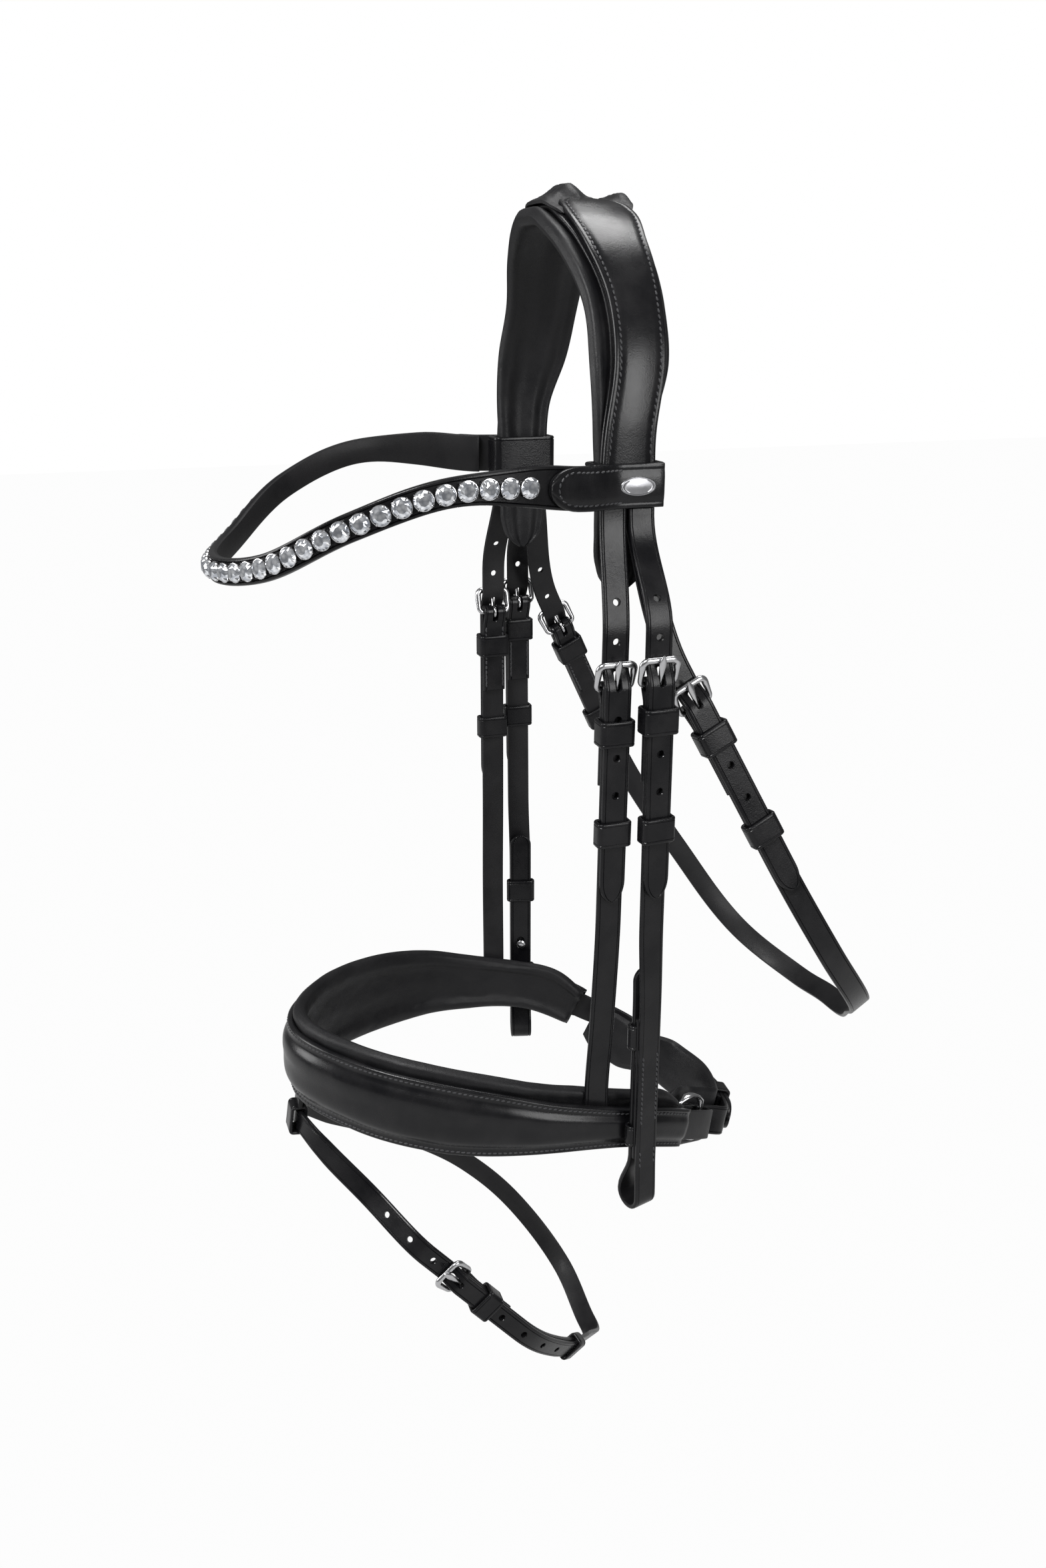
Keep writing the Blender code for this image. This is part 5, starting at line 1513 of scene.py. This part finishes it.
    def cup(self, store, centre, along, side, out):
        """Add one cup with its four claws."""
        verts, faces = store
        rings = [(0.2, 0.2), (STONE_R - 0.1, 0.2), (STONE_R + 0.33, 1.2), (STONE_R + 0.3, 1.75),
                 (STONE_R + 0.05, 1.8), (STONE_R - 0.1, 1.0), (0.3, 0.9)]
        start, count = len(verts), 20
        for radius, height in rings:
            for a in np.linspace(0, 2 * math.pi, count, endpoint=False):
                verts.append(centre + along * radius * math.cos(a) + side * radius * math.sin(a)
                             + out * height)
        faces += [tuple(i + start for i in f) for f in grid_faces(len(rings), count)]
        for quarter in range(4):
            a = math.pi / 4 + quarter * math.pi / 2
            way = along * math.cos(a) + side * math.sin(a)
            points = [centre + way * r + out * h for r, h in
                      [(STONE_R + 0.1, 0.8), (STONE_R + 0.12, 1.8), (STONE_R - 0.5, 2.6),
                       (STONE_R - 1.2, 3.15)]]
            bar, sides = tube(points, [0.5, 0.5, 0.46, 0.36], [0.5, 0.5, 0.42, 0.3],
                              np.cross(way, out), sides=7)
            faces += [tuple(i + len(verts) for i in f) for f in sides]
            verts += bar

    def badge(self):
        """A plain oval badge on the near tab."""
        level = BROW_THICK / 2 + GAP + TAB_THICK - 0.1
        centre, along, side, out = self.route.frame(self.route.length - 14.0)
        centre = centre + out * level
        verts, count = [], 40
        rings = [(1.0, 0.0), (1.0, 0.7), (0.95, 1.1), (0.86, 1.2), (0.82, 0.95), (0.7, 1.0),
                 (0.4, 1.3), (0.08, 1.38)]
        for size, height in rings:
            for a in np.linspace(0, 2 * math.pi, count, endpoint=False):
                verts.append(centre + along * 9.5 * size * math.cos(a)
                             + side * 4.6 * size * math.sin(a) + out * height)
        piece = mesh_object("badge.near", verts, grid_faces(len(rings), count), verts, sharp=50)
        settle(piece, self.body, Finish.BADGE, "stainless_steel")


# -------------------------------------------------------------- cheek straps

class Hangers:
    """Noseband hangers: billet, strap, buckle and keepers on each side."""

    def __init__(self):
        """Take the near hanger's line."""
        self.route = hanger_route()
        self.parts = BuckleSet(self.route, self.route.nearest_height(-218.0))

    def build(self):
        """Make both hangers."""
        route, parts = self.route, self.parts
        path = SidePath(parts.billet_points(0.0))
        billet = Blank(route, path, strap_edges(path.length, STRAP_WIDTH, "round", "tip"),
                       holes=parts.billet_holes(path, (-2, -1, 1, 2, 3, 4)))
        pair("hanger_billet", "noseband", billet.build)
        strap_line = parts.strap_path([(route.nearest_height(HANGER_END_Z), 0.0)])
        strap = Blank(route, strap_line, strap_edges(strap_line.length, STRAP_WIDTH),
                      holes=[parts.fold_slot(strap_line)])
        pair("hanger_strap", "noseband", strap.build)
        pair("hanger_keeper", "noseband", lambda name, flip: parts.keeper(
            name, FIXED_KEEPER_AT + 1.5, low_of(-LAYER), high_of(LAYER), flip=flip))
        pair("hanger_runner", "hanger_runner_{}", lambda name, flip: parts.keeper(
            name, RUNNING_KEEPER_AT, low_of(0), high_of(LAYER), flip=flip))
        parts.metal("hanger")
        thread = Thread("hanger.thread", "noseband")
        for flip in (False, True):
            double_row(thread, parts, strap_line, 30.0, 47.0, LEATHER / 2 - 0.05, flip)
            double_row(thread, parts, strap_line, 8.0, 13.0, LEATHER / 2 - 0.05, flip)
            back = SidePath([(parts.bar_s + 8.0, -LAYER), (parts.bar_s + 50.0, -LAYER)])
            for v in (-5.4, 5.4):
                thread.row(route, back, 2.0, 40.0, v, -LEATHER / 2 + 0.05, flip)
        thread.build()


class BitCheeks:
    """Bit cheekpieces: billet, cheek with its bit loop, buckle and keepers."""

    def __init__(self):
        """Take the near cheek's line."""
        self.route = bit_route()
        self.parts = BuckleSet(self.route, self.route.nearest_height(-215.0))
        self.level = -2 * LAYER

    def loop_path(self):
        """The cheek down, round the bit loop and back up inside."""
        route, level = self.route, self.level
        turn_s = route.nearest_height(BIT_BOTTOM_Z + BIT_LOOP_R)
        neck_s = turn_s - 26.0
        centre_n = level + LAYER - BIT_LOOP_R + 3.6
        out_n, in_n = centre_n + BIT_LOOP_R, centre_n - BIT_LOOP_R
        points = [(neck_s - 4.0, 0.0)] + ease_between(neck_s, 0.0, turn_s, out_n, 7)
        points += [(turn_s + BIT_LOOP_R * math.sin(a), centre_n + BIT_LOOP_R * math.cos(a))
                   for a in np.radians(np.arange(15, 180, 15))]
        points += ease_between(turn_s, in_n, neck_s, level, 7)
        return self.parts.strap_path(points + [(route.nearest_height(BIT_TIP_Z), level)])

    def build(self):
        """Make both cheeks."""
        route, parts = self.route, self.parts
        path = SidePath(parts.billet_points(0.0))
        billet = Blank(route, path, strap_edges(path.length, STRAP_WIDTH, "square", "tip"),
                       holes=parts.billet_holes(path, (-2, -1, 1, 2, 3, 4)))
        pair("bit_billet", "cheek_{}", billet.build)
        line = self.loop_path()
        stud_q = line.q_at(route.nearest_height(BIT_STUD_Z), first=False)
        cheek = Blank(route, line, strap_edges(line.length, STRAP_WIDTH, "square", "round"),
                      holes=[parts.fold_slot(line), slot_shape(stud_q, 4.2, 2.2)])
        pair("bit_cheek", "cheek_{}", cheek.build)
        backing = SidePath([(route.nearest_height(-400.0), -LAYER),
                            (route.nearest_height(-488.0), -LAYER)])
        layer = Blank(route, backing, strap_edges(backing.length, STRAP_WIDTH - 0.3),
                      section=plain_section)
        pair("bit_backing", "cheek_{}", layer.build, node=False)
        pair("bit_hook_stud", "cheek_{}", self.stud, Finish.STEEL, "stainless_steel")
        pair("bit_keeper", "cheek_{}", lambda name, flip: parts.keeper(
            name, FIXED_KEEPER_AT - 2.5, low_of(-LAYER), high_of(LAYER), flip=flip))
        pair("bit_runner", "bit_runner_{}", lambda name, flip: parts.keeper(
            name, RUNNING_KEEPER_AT, low_of(0), high_of(LAYER), flip=flip))
        for name, height, length, node in (("bit_loop_keeper", BIT_KEEPER_Z, 15.0, True),
                                           ("bit_low_keeper", -474.0, 13.0, False)):
            pair(name, "cheek_{}", lambda piece, flip, height=height, length=length: hoop(
                piece, route, route.nearest_height(height), low_of(self.level), high_of(self.level),
                STRAP_WIDTH, length, flip), node=node)
        parts.metal("bit")
        self.stitch(line)

    def stitch(self, line):
        """Double rows on the layered lower cheek and on the turn-backs."""
        route, parts = self.route, self.parts
        for side in SIDES:
            flip = side == "far"
            thread = Thread(f"bit_cheek.thread_{side}", f"cheek_{side}")
            for high, low in ((-422.0, -465.0), (-482.0, -493.0)):
                q0, q1 = (line.q_at(route.nearest_height(z)) for z in (high, low))
                for v in (-4.9, 4.9):
                    thread.row(route, line, q0, q1, v, LEATHER / 2 - 0.05, flip)
            double_row(thread, parts, line, 26.0, 47.0, LEATHER / 2 - 0.05, flip)
            back = SidePath([(parts.bar_s + 8.0, -LAYER), (parts.bar_s + 50.0, -LAYER)])
            for v in (-5.4, 5.4):
                thread.row(route, back, 2.0, 40.0, v, -LEATHER / 2 + 0.05, flip)
            thread.build()

    def stud(self, name, flip):
        """A turned stud through the return billet's slot."""
        point, along, width, out = self.route.frame(self.route.nearest_height(BIT_STUD_Z))
        base = low_of(0.0) - GAP
        reach = base - low_of(self.level) + 1.2
        profile = [(1.5, 0.0), (1.5, reach - 0.2), (1.9, reach), (2.7, reach + 0.4),
                   (3.0, reach + 0.9), (2.9, reach + 1.5), (2.2, reach + 2.0), (1.0, reach + 2.25),
                   (0.1, reach + 2.3)]
        verts, count = [], 28
        for r, h in profile:
            for a in np.linspace(0, 2 * math.pi, count, endpoint=False):
                verts.append(point + out * (base - h) + width * r * math.cos(a)
                             + along * r * math.sin(a))
        return mesh_object(name, verts, grid_faces(len(profile), count), verts, flip=flip)


class Throatlatch:
    """Throatlatch strap with a billet, buckle and keepers at each side."""

    def __init__(self):
        """Take the throatlatch's line."""
        self.route = throat_route()
        self.parts = BuckleSet(self.route, self.route.nearest_height(-231.0))
        self.body = "throatlatch"

    def build(self):
        """Make the throatlatch."""
        route, parts = self.route, self.parts
        path = SidePath(parts.billet_points(0.0))
        billet = Blank(route, path, strap_edges(path.length, STRAP_WIDTH, "round", "tip"),
                       holes=parts.billet_holes(path, (-2, -1, 1, 2, 3, 4)))
        pair("throat_billet", self.body, billet.build)
        near = parts.strap_path([])
        flipped = [(route.length - s, n) for s, n in near.points[::-1]]
        line = SidePath(list(near.points) + flipped)
        slot_near = parts.fold_slot(line)
        slot_far = [(line.length - q, v) for q, v in slot_near][::-1]
        strap = Blank(route, line, strap_edges(line.length, STRAP_WIDTH),
                      holes=[slot_near, slot_far], step=5.0)
        settle(strap.build("throat_strap.skin"), self.body, Finish.LEATHER,
               nodes=("throat_strap",))
        pair("throat_fixed_keeper", self.body, lambda name, flip: parts.keeper(
            name, 18.0, low_of(-LAYER), high_of(LAYER), flip=flip), node=False)
        pair("throat_runner", "throat_runner_{}", lambda name, flip: parts.keeper(
            name, RUNNING_KEEPER_AT, low_of(0), high_of(LAYER), flip=flip))
        parts.metal("throat")
        thread = Thread("throat.thread", self.body)
        for flip in (False, True):
            double_row(thread, parts, near, 27.0, 47.0, LEATHER / 2 - 0.05, flip)
            back = SidePath([(parts.bar_s + 8.0, -LAYER), (parts.bar_s + 50.0, -LAYER)])
            for v in (-5.4, 5.4):
                thread.row(route, back, 2.0, 40.0, v, -LEATHER / 2 + 0.05, flip)
        thread.build()


# ------------------------------------------------------------------- noseband

class Noseband:
    """The raised panel, its padding, and the crank at the chin."""

    def __init__(self):
        """Take the noseband's line."""
        self.route = nose_route()
        self.body = "noseband"
        self.near_end = self.route.marks[3] + 2.0
        self.far_end = self.route.length - self.route.marks[3] - 2.0
        self.thread = Thread("noseband.thread", self.body)

    def build(self):
        """Make the noseband."""
        self.panel()
        self.pad()
        self.crank()
        self.thread.build()

    def panel_rows(self):
        """The panel's outline; v is positive upwards here."""
        long = self.far_end - self.near_end
        side = long / 2
        rows = [(0.0, -11.5, 11.0), (20.0, -12.0, 11.5), (50.0, -13.0, 11.0),
                (90.0, -17.0, 13.0), (130.0, -21.5, 18.0), (side - 25, -23.0, 21.0),
                (side, -23.0, 21.0)]
        return rows + [(long - q, low, high) for q, low, high in reversed(rows[:-1])]

    def panel(self):
        """The raised outer panel with its flat stitched rim."""
        rows = [(q, -high, -low) for q, low, high in self.panel_rows()]
        path = SidePath([(self.near_end, 0.0), (self.far_end, 0.0)])
        panel = Padding(self.route, path, rows, self.panel_bulge, crumple=0.1, fine=0.03, step=3.0,
                        across=46)
        piece = panel.build("noseband_panel.skin")
        settle(piece, self.body, Finish.OVERLAY, nodes=("noseband_panel",))
        table = np.array(rows, float)
        for k, inset in ((1, 2.6), (2, -2.6)):
            edge = lambda q, k=k, inset=inset: float(
                smooth_values(np.array([q]), table[:, 0], table[:, k])[0]) + inset
            self.thread.row(self.route, path, 5.0, path.length - 5.0, edge, 1.42)

    def panel_bulge(self, share):
        """A flat rim on both edges of a round raised middle."""
        along = min(share, 1 - share) * 2
        rise = 1.9 + 1.5 * float(ease((along - 0.15) / 0.5))
        rim = 0.16 - 0.065 * float(ease((along - 0.15) / 0.5))
        entries = [(0.0, 0.5, -1.2), (0.012, 1.2, -2.2), (rim * 0.55, 1.45, -2.4),
                   (rim, 1.45, -2.4), (rim + 0.03, 1.7, -2.4)]
        entries.append((rim + 0.12, 1.5 + rise * 0.72, -2.4))
        entries += [(0.5, 1.5 + rise, -2.4)]
        return entries + [(1 - u, a, b) for u, a, b in reversed(entries[:-1])]

    def pad_bulge(self, share):
        """A roll above the panel's edge, a valley inside and a lower welt."""
        return [(0.0, 0.4, -0.4), (0.03, 2.7, -2.6), (0.09, 3.8, -3.9), (0.17, 3.0, -4.0),
                (0.24, 2.4, -2.2), (0.31, 2.4, -1.7), (0.5, 2.4, -2.0), (0.68, 2.4, -1.7),
                (0.76, 2.4, -2.2), (0.85, 2.5, -3.9), (0.93, 2.6, -3.4), (0.98, 1.8, -1.8),
                (1.0, 0.4, -0.4)]

    def pad(self):
        """The soft padding behind the panel."""
        close = -PANEL_THICK / 2 - GAP - PAD_THICK / 2
        wide = close - LAYER - 0.3
        hang = self.route.marks[5]
        points = [(self.near_end + 3.0, wide), (hang + 16.0, wide), (hang + 46.0, close)]
        points += [(self.route.length - s, n) for s, n in reversed(points)]
        path = SidePath(points)
        long, rows = self.far_end - self.near_end, []
        for q, low, high in self.panel_rows():
            lift = 7.0 if 10.0 < q < long - 10.0 else 2.0
            rows.append((max(q - 3.0, 0.0), -high - lift, -low + 3.0))
        spare = path.length / rows[-1][0]
        rows = [(q * spare, low, high) for q, low, high in rows]
        pad = Padding(self.route, path, rows, self.pad_bulge, crumple=0.5, fine=0.22, seed=4.0)
        piece = pad.build("noseband_pad.skin")
        settle(piece, self.body, Finish.PAD, "soft_pad_black", ("noseband_pad",))

    def crank(self):
        """Runner, dee, chin strap, billet, buckle and chin pad."""
        route, near_end = self.route, self.near_end
        far_start = -near_end
        leg = -PANEL_THICK / 2 - GAP - LEATHER / 2
        centre = leg - TURN_R
        turn = [(TURN_S - TURN_R * math.sin(a), centre + TURN_R * math.cos(a))
                for a in np.radians(np.arange(0, 181, 15))]
        path = SidePath([(near_end + 20.0, leg)] + turn + [(TURN_S + 9.0, centre - TURN_R)])
        runner = Blank(route, path, strap_edges(path.length, CHIN_WIDTH))
        settle(runner.build("crank_runner.skin"), self.body, Finish.LEATHER,
               nodes=("crank_runner",))
        inside = centre - TURN_R - LAYER
        bar_n = inside + FOLD_R
        self.dee(centre, bar_n)
        parts = BuckleSet(route, CHIN_BAR_S, CHIN_WIDTH, CHIN_TIP, 36.0)
        fold = [(DEE_FRONT_S + FOLD_R * math.sin(a), bar_n - FOLD_R * math.cos(a))
                for a in np.radians(np.arange(0, 181, 20))]
        run = [(CHIN_BAR_S + 50.0, 0.0)] + ease_between(44.0, 0.0, 70.0, inside, 9) + fold
        line = parts.strap_path(run + [(DEE_FRONT_S - 9.0, bar_n + FOLD_R)])
        strap = Blank(route, line, strap_edges(line.length, CHIN_WIDTH),
                      holes=[parts.fold_slot(line)])
        settle(strap.build("chin_strap.skin"), self.body, Finish.LEATHER, nodes=("chin_strap",))
        points = [(far_start - 20.0, leg), (far_start + 1.0, leg)]
        points += ease_between(far_start + 4.0, leg, far_start + 24.0, parts.under_n, 6)
        path = SidePath(points + parts.billet_points(far_start + 30.0)[1:])
        billet = Blank(route, path, strap_edges(path.length, CHIN_WIDTH, "square", "tip"),
                       holes=parts.billet_holes(path, (-2, -1, 1, 2)))
        settle(billet.build("crank_billet.skin"), self.body, Finish.LEATHER,
               nodes=("crank_billet",))
        keeper = parts.keeper("crank_keeper.skin", 22.0, low_of(-LAYER), high_of(LAYER), 12.0)
        settle(keeper, self.body, Finish.LEATHER)
        parts.metal("crank", ("",))
        double_row(self.thread, parts, line, 30.0, 46.0, LEATHER / 2 - 0.05, False)
        self.chin_pad(inside)

    def dee(self, rear_n, front_n):
        """The curved dee that joins the runner to the chin strap."""
        half = CHIN_WIDTH / 2 + GAP + BAR_R
        lift = 4.5
        flat = [(0.0, 0.8 * half), (0.03, 0.93 * half), (0.14, half), (0.5, half), (0.86, half),
                (0.97, 0.93 * half), (1.0, 0.8 * half), (1.0, 0.0), (1.0, -0.8 * half),
                (0.97, -0.93 * half), (0.86, -half - lift * 0.55), (0.68, -half - lift * 0.92),
                (0.5, -half - lift), (0.32, -half - lift * 0.92), (0.14, -half - lift * 0.55),
                (0.03, -0.93 * half), (0.0, -0.8 * half), (0.0, 0.0)]
        points = []
        for share, v in flat:
            s = DEE_REAR_S + (DEE_FRONT_S - DEE_REAR_S) * share
            points.append(self.route.place(np.array([s]), rear_n + (front_n - rear_n) * share,
                                           v)[0])
        count = len(points)
        _, along, width, out = self.route.frame((DEE_REAR_S + DEE_FRONT_S) / 2)
        band = [BAR_R * (1.9 if v < -half - 0.1 else 0.95) for _, v in flat]
        verts, faces = tube(points, band, [BAR_R * 0.9] * count, out, closed=True, sides=14)
        piece = mesh_object("crank_dee.metal", verts, faces, verts, sharp=50)
        settle(piece, self.body, Finish.STEEL, "stainless_steel", ("crank_dee",))

    def chin_pad(self, strap_n):
        """The soft pad behind the chin."""
        deep = strap_n - LEATHER / 2 - GAP - CHIN_PAD_THICK / 2
        shallow = -2 * FOLD_R - LEATHER / 2 - GAP - CHIN_PAD_THICK / 2
        near = ease_between(40.0, shallow, 70.0, deep, 8) + [(DEE_FRONT_S + 6.0, deep)]
        path = SidePath([(-s, n) for s, n in reversed(near)] + near)
        half = path.length / 2
        rows = [(0.0, -9.0, 9.0), (8.0, -15.0, 15.0), (26.0, -18.0, 18.0), (60.0, -18.0, 16.0),
                (half, -21.0, 15.0)]
        rows += [(path.length - q, low, high) for q, low, high in reversed(rows[:-1])]
        shape = lambda share: [(0.0, 0.3, -0.3), (0.04, 1.8, -1.8), (0.12, 2.2, -2.8),
                               (0.5, 2.0, -3.4), (0.88, 2.2, -2.8), (0.96, 1.8, -1.8),
                               (1.0, 0.3, -0.3)]
        pad = Padding(self.route, path, rows, shape, crumple=0.4, fine=0.15, seed=8.0)
        piece = pad.build("chin_pad.skin")
        settle(piece, self.body, Finish.PAD, "soft_pad_black", ("chin_pad",))


class Flash:
    """Flash strap through its carrier, with a buckle and two keepers."""

    def __init__(self):
        """Take the flash strap's line."""
        self.route = flash_route()
        self.body = "flash"

    def build(self):
        """Make the flash strap."""
        route = self.route
        parts = BuckleSet(route, route.nearest_height(FLASH_BAR_Z), FLASH_WIDTH, FLASH_TIP, 38.0)
        once = [(route.length + s, n) for s, n in parts.billet_points(30.0)]
        path = parts.strap_path([(route.length - 30.0, 0.0), (route.length, 0.0)] + once)
        used = path.q_at(route.length + parts.prong_s, first=False)
        holes = [parts.fold_slot(path), slot_shape(used, PRONG_SLOT_R + SLOT_HALF, PRONG_SLOT_R)]
        holes += [slot_shape(used + k * HOLE_PITCH, 0.0, HOLE_R) for k in (-3, -2, -1, 2, 3, 4, 5)]
        strap = Blank(route, path, strap_edges(path.length, FLASH_WIDTH, "square", "tip"),
                      holes=holes, step=5.0)
        settle(strap.build("flash_strap.skin"), self.body, Finish.LEATHER, nodes=("flash_strap",))
        for node, at, level, length in (("flash_keeper", 21.0, low_of(-LAYER), 12.0),
                                        ("flash_runner", FLASH_END_KEEPER, low_of(0), 9.0)):
            keeper = parts.keeper(f"{node}.skin", at, level, high_of(LAYER), length)
            settle(keeper, self.body, Finish.LEATHER, nodes=(node,))
        parts.metal("flash", ("",))
        self.carrier()
        thread = Thread("flash.thread", self.body)
        double_row(thread, parts, path, 28.0, 36.0, LEATHER / 2 - 0.05, False, 1.4)
        thread.build()

    def carrier(self):
        """The leather loop below the noseband, with its tab."""
        half_v, half_n = FLASH_WIDTH / 2 + 1.2, LEATHER / 2 + 2.0
        ring = hoop("flash_carrier.skin", self.route, 0.0, -half_n + GAP, half_n - GAP,
                    2 * (half_v - KEEPER_PLAY), CARRIER_LENGTH)
        settle(ring, self.body, Finish.LEATHER, nodes=("flash_carrier",))
        point, along, side, out = self.route.frame(0.0)
        top = half_v + KEEPER_WALL
        verts, flat = [], []
        cut = plain_section(-CARRIER_LENGTH / 2, CARRIER_LENGTH / 2, 2.6)
        for v in np.linspace(top - 0.6, top + CARRIER_TAB, 4):
            for a, t in cut:
                verts.append(point + side * v + along * a + out * t)
                flat.append((v, a, t))
        piece = mesh_object("flash_carrier.tab", verts, grid_faces(4, len(cut)), flat)
        settle(piece, self.body, Finish.LEATHER)


# --------------------------------------------------------------- surroundings

def camera_only(tree, first, second, output):
    """Show the second shader to the camera and light the scene with the first."""
    rays = tree.nodes.new("ShaderNodeLightPath")
    choose = tree.nodes.new("ShaderNodeMixShader")
    tree.links.new(rays.outputs["Is Camera Ray"], choose.inputs["Fac"])
    tree.links.new(first.outputs[0], choose.inputs[1])
    tree.links.new(second.outputs[0], choose.inputs[2])
    tree.links.new(choose.outputs[0], output.inputs["Surface"])


def plain_surface(name):
    """A plain white surface for the floor."""
    shade = Shader(name)
    cloud = shade.noise(shade.place(), 3.0)
    shade.set(Base_Color=shade.mix(cloud, (0.5, 0.5, 0.5, 1.0), (0.48, 0.48, 0.48, 1.0)),
              Roughness=0.9)
    seen = shade.tree.nodes.new("ShaderNodeEmission")
    seen.inputs["Color"].default_value = (0.98, 0.98, 0.98, 1.0)
    camera_only(shade.tree, shade.surface, seen, shade.tree.nodes["Material Output"])
    return shade.material


def soft_light(name, place, target, size, power):
    """A large soft lamp aimed at a point."""
    data = bpy.data.lights.new(name, "AREA")
    data.shape, data.size, data.size_y, data.energy = "RECTANGLE", size[0], size[1], power
    lamp = link(bpy.data.objects.new(name, data))
    lamp.location = place
    lamp.rotation_euler = (Vector(target) - Vector(place)).to_track_quat("-Z", "Y").to_euler()
    return lamp


def surroundings():
    """Pale floor, bright even surroundings and soft studio lamps."""
    bpy.ops.mesh.primitive_plane_add(size=14.0, location=(0, 0, -0.86))
    floor = bpy.context.object
    floor.name = "floor"
    floor.data.materials.append(plain_surface("floor"))
    floor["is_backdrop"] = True
    world = bpy.data.worlds.new("studio")
    world.use_nodes = True
    tree = world.node_tree
    lit = tree.nodes["Background"]
    seen = tree.nodes.new("ShaderNodeBackground")
    for node, strength in ((lit, 0.2), (seen, 1.0)):
        node.inputs["Color"].default_value = (1.0, 1.0, 1.0, 1.0)
        node.inputs["Strength"].default_value = strength
    camera_only(tree, lit, seen, tree.nodes["World Output"])
    bpy.context.scene.world = world
    bpy.context.scene.view_settings.view_transform = "Standard"
    middle = (0.0, 0.0, -0.33)
    soft_light("key", (1.1, -1.3, 1.5), middle, (0.9, 0.6), 62.0)
    soft_light("side", (1.9, 0.7, 0.4), middle, (0.7, 1.3), 26.0)
    soft_light("fill", (-0.6, -1.9, 0.3), middle, (0.8, 1.2), 26.0)
    soft_light("top", (-0.4, 0.6, 1.9), middle, (1.0, 1.0), 36.0)


def camera():
    """The camera, looking down at the near side from the front."""
    scene = bpy.context.scene
    scene.render.resolution_x, scene.render.resolution_y = 1568, 2351
    data = bpy.data.cameras.new("camera")
    data.lens, data.sensor_width, data.sensor_fit = 30.63, 36.0, "AUTO"
    eye = link(bpy.data.objects.new("camera", data))
    turn, down = math.radians(70.65), math.radians(19.56)
    back = Vector((math.sin(turn) * math.cos(down), -math.cos(turn) * math.cos(down),
                   math.sin(down)))
    right = Vector((math.cos(turn), math.sin(turn), 0.0))
    lift = back.cross(right)
    eye.matrix_world = Matrix.Translation((0.6814, -0.2642, -0.0415)) @ Matrix(
        (right, lift, back)).transposed().to_4x4()
    scene.camera = eye


def main():
    """Build the bridle's looks over its frame."""
    logging.basicConfig(level=logging.INFO, format="%(name)s %(message)s")
    for obj in list(bpy.data.objects):
        bpy.data.objects.remove(obj)
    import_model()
    sizes = {"frame": [list(corner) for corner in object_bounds()]}
    for part in (Headpiece, Browband, Hangers, BitCheeks, Throatlatch, Noseband, Flash):
        part().build()
    surroundings()
    camera()
    sizes["looks"] = [list(corner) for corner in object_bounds()]


if __name__ == "__main__":
    main()
